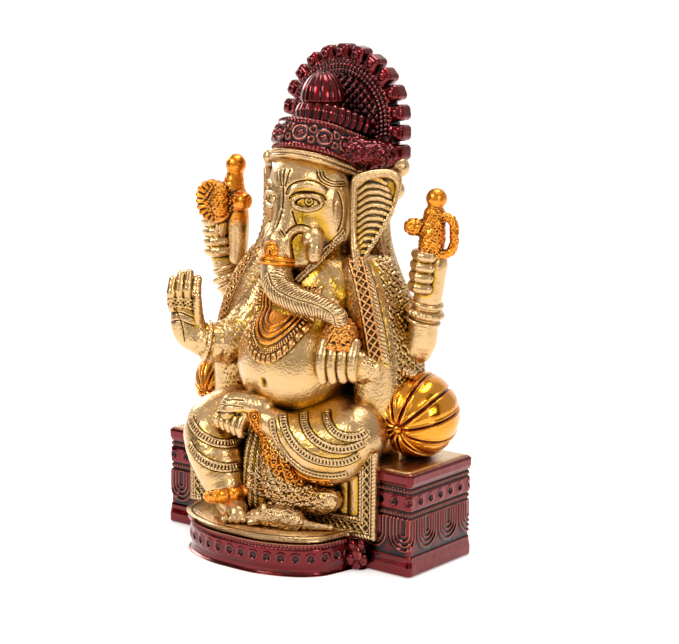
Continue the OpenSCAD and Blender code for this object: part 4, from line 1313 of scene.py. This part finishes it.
def build_rear_arms():
    stations = {
        "left": [[24, 4, 111, 9], [36, 5, 98, 8.2], [45, 6, 89.5, 7.6], [50.5, 5.5, 94, 7], [53, 4.5, 105, 6],
                 [55.5, 4, 116, 6], [57.5, 3.6, 127, 6]],
        "right": [[-24, 4, 111, 9], [-36, 5, 99, 8.2], [-44, 6, 92, 7.6], [-49, 5.5, 98, 7], [-53, 4.5, 108, 6],
                  [-57, 4, 119, 6], [-59.5, 3.6, 130, 6]],
    }
    for side, word, lift, out in ((1, "left", 4.0, 0.0), (-1, "right", 8.5, 2.0)):
        low = flip([[16, -12, 78], [72, 16, 150]], side)
        clay = Clay(low.min(0), low.max(0), 0.42)
        clay.limb(stations[word])
        clay.ball([side * (57 + out), 3.4, 123 + lift], [5.8, 5, 8.5], (0, side * 8, 0), blend=2)
        for z in (113.8, 118.2, 122.6, 127.0):
            lean = (z - 113) / 8 + out
            clay.limb(flip([[58.5 + lean, -2.2, z + lift - 0.3, 2.3], [54.5 + lean, -3.4, z + lift, 2.6],
                            [50.4 + lean, -0.6, z + lift + 0.4, 2.5], [51.0 + lean, 3, z + lift + 0.6, 2.2]], side),
                      blend=0.3, step=2)
        skin = clay.skin().smooth(1)
        add_piece("raised_arm_" + word, skin, material("brass"), ["rear_" + word + "_arm"])


def bangle_relief(s, t):
    return 0.5 * (0.5 + 0.5 * np.cos(2 * math.pi * s / 1.7)) * np.exp(-(t / 0.8) ** 2)


def build_bangles():
    bands = [ring_band([-39.2, -28.2, 87.2], 8.0, [-0.62, -0.76, 0.2], 1.3, bangle_relief)]
    for x, z, lean in ((53.2, 106.5, 0.24), (-53.5, 110.0, -0.36)):
        bands.append(ring_band([x, 4.5, z], 6.6, [lean, 0, 1], 1.9, bangle_relief))
        bands.append(ring_band([x + 4 * lean, 4.4, z + 4], 6.4, [lean, 0, 1], 1.2))
        bands.append(ring_band([x - 3.6 * lean, 4.6, z - 3.6], 6.9, [lean, 0, 1], 0.9))
    add_piece("bangle_set", merged(bands), material("brass"), ["bangles"])


def build_tools():
    brass = material("brass")
    clay = Clay([40, -12, 112], [72, 12, 164], 0.4)
    clay.limb([[56.5, -0.5, 126, 3], [58, 1.5, 136, 5.4], [58.5, 2.5, 148, 4.4]])
    clay.ball([59, 3, 154.5], [4.4, 4.4, 4.4], blend=0.8)
    clay.limb([[57, 2, 142, 3.6], [50, -1, 142.5, 3.6]], blend=1)
    loop = [[60, 1, 131], [65.5, 5, 133], [66.5, 5.5, 140], [65.5, 5, 146], [60.5, 2.5, 148]]
    clay.limb([[*p, 1.9] for p in loop], blend=0.6)
    skin = clay.skin().smooth(1)
    skin.emboss(np.where(skin.points[:, 2] < 150, weave(skin.points, 2.0, 0.45), 0))
    skin.lacquer[:] = 1
    add_piece("noose_loop", skin, brass, ["noose"])
    clay = Clay([-72, -16, 112], [-38, 12, 172], 0.4)
    clay.limb([[-58, -0.5, 124, 3], [-54, 0, 136, 5.0], [-49.5, 0.5, 148, 5.6], [-48, 1, 157, 3.8]])
    clay.limb([[-47.5, 1, 148, 5], [-46.8, 2, 134, 4.8], [-47.5, 2.5, 120, 4.2]])
    clay.ball([-47.5, 1, 161.5], [4.6, 4.6, 4.8], blend=0.8)
    clay.limb([[-49, 0, 145, 5], [-40.5, -2, 146, 4.0]], blend=1)
    clay.plate([[8, 0], [5, 7.4], [-2, 9.6], [-7.6, 6], [-9, 0], [-7.6, -6], [-2, -9.6], [5, -7.4]], 2.2,
               [-53.8, -5, 145], [1, 0.3, 0.1], [0, 0, 1], 0.9, blend=0.6)
    clay.ball([-50.5, -6, 146], [4.6, 3.8, 7.8], blend=0.6)
    skin = clay.skin().smooth(1)
    near = np.hypot(skin.points[:, 0] + 50.5, skin.points[:, 2] - 146) < 7.8
    skin.emboss(np.where(near & (skin.points[:, 1] < -4), weave(skin.points, 1.8, 0.5), 0))
    angle = np.arctan2(skin.points[:, 2] - 145, skin.points[:, 0] + 49.5)
    blade = ~near & (skin.points[:, 1] < -2) & (skin.points[:, 0] < -53)
    skin.emboss(np.where(blade, 0.35 * np.cos(angle * 26), 0))
    skin.lacquer[:] = np.clip((skin.points[:, 2] - 134) / 4, 0, 1)
    add_piece("axe_head", skin, brass, ["axe"])
    clay = Clay([14, -36, 84], [42, -8, 110], 0.4)
    clay.ball([29.8, -22.5, 97.5], [7.6, 7, 7.8])
    for a in range(0, 360, 30):
        clay.ball([29.8 + 7 * math.cos(math.radians(a)), -22.5 + 6.4 * math.sin(math.radians(a)), 93.6], 1.9, blend=0.3)
    skin = clay.skin().smooth(1)
    skin.emboss(weave(skin.points, 1.9, 0.5))
    skin.lacquer[:] = 0.8
    add_piece("sweet_bowl", skin, brass, ["sweets"])


def build_ornaments():
    brass = material("brass")
    clay = Clay([-26, -46, 78], [30, -4, 122], 0.4)
    clay.ball([4, -14, 105], [19.6, 12.1, 12.6])
    clay.ball([0, -15, 82], [27.3, 23.3, 26.3])
    clay.ball([0, -4.6, 108], [25.6, 14.6, 19.6], blend=6)
    for side in (-1, 1):
        clay.ball([side * 10, -13.6, 107], [12.6, 10.6, 10.6], blend=5)
    skin = clay.skin().smooth(2)
    arc = np.hypot((skin.points[:, 0] - 1) / 17.0, (skin.points[:, 2] - 110) / 26.0)
    front = skin.points[:, 1] < -12
    keep = (arc < 1) & front & (skin.points[:, 2] < 116)
    inside = keep[skin.quads].all(1)
    used = np.unique(skin.quads[inside])
    index = np.full(len(skin.points), -1)
    index[used] = np.arange(len(used))
    plate = Skin(skin.points[used], index[skin.quads[inside]], 0.4)
    out = arc[used]
    around = np.arctan2((plate.points[:, 0] - 1) / 17.0, -(plate.points[:, 2] - 110) / 26.0) * 21
    petal = np.abs(np.cos(math.pi * around / 3.4)) ** 0.5 * np.sqrt(np.clip(1 - ((out - 0.92) / 0.08) ** 4, 0, 1))
    lift = np.where(out > 0.85, 1.1 * petal - 0.3, 0)
    ticks = 0.5 + 0.5 * np.cos(2 * math.pi * around / 1.4)
    lift += np.where((out > 0.74) & (out <= 0.83), 0.55 * ticks, 0)
    for r in (0.42, 0.55, 0.66):
        lift += 0.8 * np.exp(-((out - r) * 23 / 0.6) ** 2)
    plate.emboss(lift)
    plate.lacquer[:] = np.where(out < 0.68, 1.0, 0.45)
    add_piece("necklace_plate", plate, brass, ["necklace"])


def build_stoles():
    """The cloth that falls from each shoulder over the arm and the throne's side, with its woven border."""
    for side, word in ((1, "left"), (-1, "right")):
        reach = flip([[16, -22, 42], [58, 16, 134]], side)
        clay = Clay(reach.min(0), reach.max(0), 0.42)
        clay.limb(flip([[25, -4, 122, 8], [31, -5, 112, 9.5], [35.5, -5.5, 98, 11], [38, -6, 84, 11.5],
                        [39, -6, 70, 11.5], [39.5, -7, 55, 10]], side))
        clay.limb(flip([[31, 5, 121, 7], [36.5, 6, 108, 7.5], [41, 5.5, 95, 8], [44, 4, 80, 8.5], [44.5, 2, 64, 8.5]],
                       side), blend=6)
        skin = clay.skin().smooth(2)
        border = lay(skin, "stole_border", side)
        if border is not None:
            skin.trace(border, 3.4, lattice(2.9, 1.0, 3.6), 0.45, depth=9)
            for shift in (4.6, 7.4):
                skin.trace(border + [side * shift, 0.6, 0], 1.5, rope(1.1, 0.9, 1.8), depth=9)
            spread = 0.79 * side * border[::-1, 0] + 0.61 * border[::-1, 1]
            edge = np.interp(skin.points[:, 2], border[::-1, 2], spread) + 8.2
        else:
            edge = np.full(len(skin.points), 20.0)
        spread = 0.79 * side * skin.points[:, 0] + 0.61 * skin.points[:, 1]
        skin.emboss(np.clip(spread - edge, 0, 1) * weave(skin.points, 2.3, 0.55))
        skin.emboss(np.clip(edge - 12 - spread, 0, 1) * weave(skin.points, 3.0, 0.25))
        add_piece("draped_cloth_" + word, skin, material("brass"), ["stole_" + word])


def build_legs():
    brass = material("brass")
    cell = bpy.context.scene.idol_sizes.cell
    clay = Clay([-30, -48, 22], [54, 4, 76], cell)
    clay.limb([[12, -6, 58, 12], [26, -14, 57, 13.5], [36, -19, 56.5, 13.6], [34, -23, 53, 13.4], [22, -27, 51, 12]])
    clay.ball([25, -27, 46.5], [17, 10, 12], (0, 10, 0), blend=6)
    clay.ball([18, -14, 60], [22, 17, 8], blend=4)
    clay.limb([[22, -29, 48, 11], [10, -33, 56, 7.5], [-4, -35, 60.5, 6], [-13, -35.5, 61.5, 5.2]], blend=4)
    skin = clay.skin().smooth(2)
    for name, half in (("lap_a", 1.3), ("lap_b", 1.5), ("lap_c", 1.5), ("lap_d", 1.5)):
        skin.trace(lay(skin, name), half + 0.7, ladder(half, 0.8, 1.5))
    skin.emboss(np.clip((skin.points[:, 1] + 14) / 3, 0, 1) * weave(skin.points, 2.6, 0.3))
    skin.trace(lay(skin, "lap_border"), 3.2, rings(1.3, 0.8, 3.9), 1.0, depth=5)
    skin.trace(lay(skin, "lap_border"), 3.2, lambda s, t: 0.6 * np.exp(-((np.abs(t) - 2.5) / 0.4) ** 2))
    add_piece("folded_leg", skin, brass, ["left_leg"])
    clay = Clay([-52, -58, 16], [4, 2, 72], cell)
    clay.limb([[-12, -7, 56, 12], [-26, -22, 55, 13.5], [-31.5, -31, 51.5, 13], [-28, -36, 45, 12.5],
               [-22, -39, 37, 11], [-17.5, -41, 29.5, 8.6]])
    clay.limb([[-17, -41, 30, 6.4], [-14.5, -41, 23, 6.4], [-10, -43.5, 21.4, 5.6], [-5, -47, 20, 4.6]], blend=1)
    for n in range(5):
        finger(clay, [-9.0 + n * 2.3, -48.8 + n * 1.0, 19.8], [-7.6 + n * 2.4, -53 + n * 1.5, 18.6], 1.6)
    skin = clay.skin().smooth(2)
    for name in ("shin_a", "shin_b"):
        skin.trace(lay(skin, name), 2.5, ladder(1.7, 0.9, 1.5))
    add_piece("standing_leg", skin, brass, ["right_leg"])
    clay = Clay([-32, -52, 48], [4, -24, 76], 0.36)
    clay.limb([[-2, -34, 64, 5.6], [-9, -36.5, 65, 5.6], [-14.5, -38.5, 64, 5.8], [-15, -39.5, 60.5, 5.0]])
    for n in range(5):
        x = -20 + n * 3.1
        clay.limb([[x + 0.6, -40.5, 61, 1.9], [x, -43.2, 58.5 - 0.6 * n, 1.9], [x + 0.2, -42.6, 55.6 - 0.6 * n, 1.6]],
                  blend=0.25, step=2)
    skin = clay.skin().smooth(1)
    for z in (62.0, 65.5, 69.0):
        skin.trace([[-20, -43, z - 1], [-14, -45, z], [-7, -42, z - 0.5]], 1.0, groove(0.45, 0.4))
    add_piece("folded_foot", skin, brass)
    ring = ring_band([-15.7, -41.3, 26.0], 7.4, [-0.25, 0.05, 1], 3.0, lambda s, t: 1.1 * np.clip(4 * np.cos(s * 2 * math.pi / 4.6) + 1.5, -0.6, 1) - 0.3)
    ring.lacquer[:] = 1
    add_piece("ankle_band", ring, brass, ["anklet"])


def build_sash():
    clay = Clay([-18, -46, 17], [44, -16, 68], 0.42)
    clay.limb([[4, -31, 54, 8], [8, -33, 42, 9], [11, -34, 33, 9], [14, -32, 27, 8]])
    clay.limb([[14, -33, 31, 7], [24, -31, 28, 6.5], [31, -30, 29, 5]], blend=3)
    clay.limb([[-5, -26, 58, 7.5], [-6, -29, 44, 8.5], [-5, -31, 30, 8.5], [-4, -31, 20, 8]], blend=2)
    skin = clay.skin().smooth(2)
    for x, pitch in ((-9.0, 1.6), (-5.6, 1.6), (-2.2, 1.6)):
        skin.trace([[x + 1, -36, 56], [x, -38, 42], [x + 0.5, -40, 22]], 1.5, rope(1.0, 0.8, pitch), depth=8)
    skin.emboss(np.clip((skin.points[:, 0] - 1) / 2, 0, 1) * weave(skin.points, 2.4, 0.4))
    for dx, lift in ((0, 0), (6.5, 3), (13, 7)):
        stations = ((-1, -40, 45), (2, -42, 36), (8, -42, 29 - 0.3 * lift), (16, -41, 25 - 0.4 * lift))
        arc = [[x + dx, y, z + lift] for x, y, z in stations]
        skin.trace(arc, 1.8, rope(1.1, 1.0, 1.7), depth=9)
        inner = [[x + 3, y, z + 1.4] for x, y, z in arc]
        skin.trace(inner, 2.2, rings(1.1, 0.7, 3.4), 0.1, depth=9)
    skin.trace(lay(skin, "lap_border"), 3.2, rings(1.3, 0.8, 3.9), 1.0, depth=5)
    skin.trace(lay(skin, "hem_a"), 2.0, rings(1.1, 0.7, 3.4), 0.25, depth=5)
    skin.trace(lay(skin, "hem_b"), 1.6, rope(1.1, 0.9, 1.6), depth=5)
    skin.trace(lay(skin, "hem_c"), 1.6, rope(1.1, 0.9, 1.6), depth=5)
    add_piece("sash_fall", skin, material("brass"), ["sash"])


def build_mouse():
    clay = Clay([-6, -54, 15], [40, -24, 32], 0.38)
    clay.limb([[20, -40, 20.5, 4.6], [14, -42, 21.5, 5], [8, -44, 21, 4.2], [3.5, -46, 20.6, 3], [0.5, -47.5, 20, 1.6]])
    clay.limb([[20, -40, 20, 3], [27, -37.5, 18.8, 1.8], [34, -33, 18.4, 1.2]], blend=1)
    for dy in (-1.5, 3.2):
        clay.ball([8.5, -45 + dy, 25], [1.9, 1.1, 2.1], blend=0.6)
    clay.limb([[6, -47, 19, 1.5], [3, -49, 18.4, 1.2]], blend=0.6)
    skin = clay.skin().smooth(1)
    skin.emboss(np.clip((skin.points[:, 0] - 6) / 2, 0, 1) * weave(skin.points, 2.0, 0.3))
    skin.trace([[20, -44, 24], [14, -46, 25.5], [9, -48, 24.5]], 1.6, rope(1.1, 0.6, 1.6), depth=5)
    add_piece("mouse_body", skin, material("brass"), ["mouse"])


# ---------------------------------------------------------------- the stage

CAMERA_TURN = 37.5
CAMERA_RISE = 10.3
CAMERA_ROLL = 0.6
CAMERA_AWAY = 821.5
CAMERA_AIM = (9.4, 96.6)
LENS = 100.74


def build_stage():
    scene = bpy.context.scene
    a, e = math.radians(CAMERA_TURN), math.radians(CAMERA_RISE)
    back = np.array([math.sin(a) * math.cos(e), -math.cos(a) * math.cos(e), math.sin(e)])
    aim = np.array([CAMERA_AIM[0] * math.cos(a), CAMERA_AIM[0] * math.sin(a), CAMERA_AIM[1]])
    data = bpy.data.cameras.new("camera")
    data.lens = LENS
    data.sensor_width = 36
    data.clip_end = 20
    camera = bpy.data.objects.new("camera", data)
    camera.location = (aim + back * CAMERA_AWAY + MIDDLE) * MM
    camera.rotation_mode = "QUATERNION"
    look = Vector(-back).to_track_quat("-Z", "Y")
    camera.rotation_quaternion = look @ Euler((0, 0, math.radians(CAMERA_ROLL))).to_quaternion()
    scene.collection.objects.link(camera)
    scene.camera = camera

    away = np.array([-math.sin(a), math.cos(a)])
    wide = np.array([math.cos(a), math.sin(a)])
    bend = [(1.2 + 0.6 * math.sin(t), 0.6 - 0.6 * math.cos(t)) for t in np.radians(np.linspace(0, 90, 13))]
    rows = [(-1.4, 0.0), *bend, (1.8, 2.2)]
    points = [(*(away * s + wide * w), z) for s, z in rows for w in (-1.8, 1.8)]
    faces = [(2 * i, 2 * i + 1, 2 * i + 3, 2 * i + 2) for i in range(len(rows) - 1)]
    mesh = bpy.data.meshes.new("floor")
    mesh.from_pydata(points, [], faces)
    mesh.polygons.foreach_set("use_smooth", [True] * len(faces))
    floor = bpy.data.objects.new("floor", mesh)
    scene.collection.objects.link(floor)
    paper, tree = new_tree("white_paper")
    shader = add_node(tree, "ShaderNodeBsdfPrincipled", {"Base Color": linear("#F6F5F3"), "Roughness": 0.9,
                                                         "Emission Color": linear("#FFFFFF"), "Emission Strength": 0.36})
    tree.links.new(shader.outputs[0], add_node(tree, "ShaderNodeOutputMaterial").inputs[0])
    mesh.materials.append(paper)

    world = bpy.data.worlds.new("studio")
    scene.world = world
    world.use_nodes = True
    world.node_tree.nodes.clear()
    sky = add_node(world.node_tree, "ShaderNodeBackground", {"Color": linear("#FFFAF4"), "Strength": 0.62})
    world.node_tree.links.new(sky.outputs[0], add_node(world.node_tree, "ShaderNodeOutputWorld").inputs[0])

    target = Vector((0, 0.01, 0.11))
    for name, place, size, power in (
        ("key", (-0.25, -0.85, 0.75), 0.28, 4.4),
        ("fill", (1.0, -0.3, 0.5), 0.28, 3.0),
        ("top", (0.1, 0.2, 1.0), 0.45, 5.5),
        ("rim", (-0.8, 0.2, 0.5), 0.4, 2.5),
    ):
        lamp = bpy.data.lights.new(name, "AREA")
        lamp.energy = power
        lamp.size = size
        holder = bpy.data.objects.new(name, lamp)
        holder.location = place
        holder.rotation_mode = "QUATERNION"
        holder.rotation_quaternion = (target - Vector(place)).to_track_quat("-Z", "Y")
        scene.collection.objects.link(holder)
    card, tree = new_tree("dark_card")
    shader = add_node(tree, "ShaderNodeBsdfPrincipled", {"Base Color": linear("#2A1D14"), "Roughness": 0.9})
    tree.links.new(shader.outputs[0], add_node(tree, "ShaderNodeOutputMaterial").inputs[0])
    for name, place, size in (
        ("card_left", (-0.42, -0.36, 0.2), (0.26, 0.6)),
        ("card_right", (0.5, 0.02, 0.2), (0.24, 0.6)),
        ("card_low", (0.2, -0.7, 0.07), (0.7, 0.14)),
    ):
        across = Vector((-place[1], place[0], 0)).normalized() * size[0] / 2
        rise = Vector((0, 0, size[1] / 2))
        spots = [Vector(place) + across * i + rise * j for i, j in ((-1, -1), (1, -1), (1, 1), (-1, 1))]
        mesh = bpy.data.meshes.new(name)
        mesh.from_pydata(spots, [], [(0, 1, 2, 3)])
        mesh.materials.append(card)
        sheet = bpy.data.objects.new(name, mesh)
        scene.collection.objects.link(sheet)
        sheet.visible_camera = False
    scene.view_settings.view_transform = "Standard"


# ---------------------------------------------------------------- operators and panel

def operator(name, label, text, *builders):
    """An operator class that runs one or more of the builders above."""
    def execute(self, context):
        for build in builders:
            build()
        return {"FINISHED"}

    return type("IDOL_OT_" + name, (bpy.types.Operator,), {
        "bl_idname": "idol." + name, "bl_label": label, "__doc__": text, "execute": execute})


OPERATORS = [
    operator("pedestal", "Pedestal", "Builds the lacquered arm blocks and the step", build_pedestal, build_plates),
    operator("seat", "Seat", "Builds the seat panel, slab and back", build_seat, build_backrest),
    operator("bolsters", "Bolsters", "Builds the round cushions and their piping", build_bolsters),
    operator("arch", "Arch", "Builds the toothed arch", build_arch),
    operator("crown", "Crown", "Builds the crown's tiers and dome", build_crown),
    operator("torso", "Torso", "Sculpts the belly and chest", build_torso),
    operator("head", "Head", "Sculpts the head and tusks", build_head, build_tusks),
    operator("trunk", "Trunk", "Sculpts the ribbed trunk", build_trunk),
    operator("ears", "Ears", "Sculpts the ears", build_ears),
    operator("arms", "Arms", "Sculpts the four arms and their bangles", build_front_right_arm, build_front_left_arm,
             build_rear_arms, build_bangles),
    operator("tools", "Attributes", "Sculpts what the hands hold", build_tools),
    operator("ornaments", "Ornaments", "Builds the necklace, neck band and stoles", build_ornaments, build_stoles),
    operator("legs", "Legs", "Sculpts the legs, the sash and the anklet", build_legs, build_sash),
    operator("mouse", "Mouse", "Sculpts the mouse on the step", build_mouse),
    operator("stage", "Stage", "Sets the floor, lights and camera", build_stage),
]


class IDOL_PT_panel(bpy.types.Panel):
    """Lists the pieces in the sidebar."""

    bl_label = "Brass Idol"
    bl_idname = "IDOL_PT_panel"
    bl_space_type = "VIEW_3D"
    bl_region_type = "UI"
    bl_category = "Idol"

    def draw(self, context):
        for made in OPERATORS:
            self.layout.operator(made.bl_idname)
        for group in (context.scene.idol_sizes, context.scene.idol_look):
            for key in group.__annotations__:
                self.layout.prop(group, key)


CLASSES = [IdolLook, IdolSizes, *OPERATORS, IDOL_PT_panel]


def register():
    for made in CLASSES:
        bpy.utils.register_class(made)
    bpy.types.Scene.idol_look = bpy.props.PointerProperty(type=IdolLook)
    bpy.types.Scene.idol_sizes = bpy.props.PointerProperty(type=IdolSizes)


def unregister():
    del bpy.types.Scene.idol_sizes
    del bpy.types.Scene.idol_look
    for made in reversed(CLASSES):
        bpy.utils.unregister_class(made)


def main():
    random.seed(7)
    register()
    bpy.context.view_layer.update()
    for made in OPERATORS:
        family, name = made.bl_idname.split(".")
        getattr(getattr(bpy.ops, family), name)()


if __name__ == "__main__":
    main()
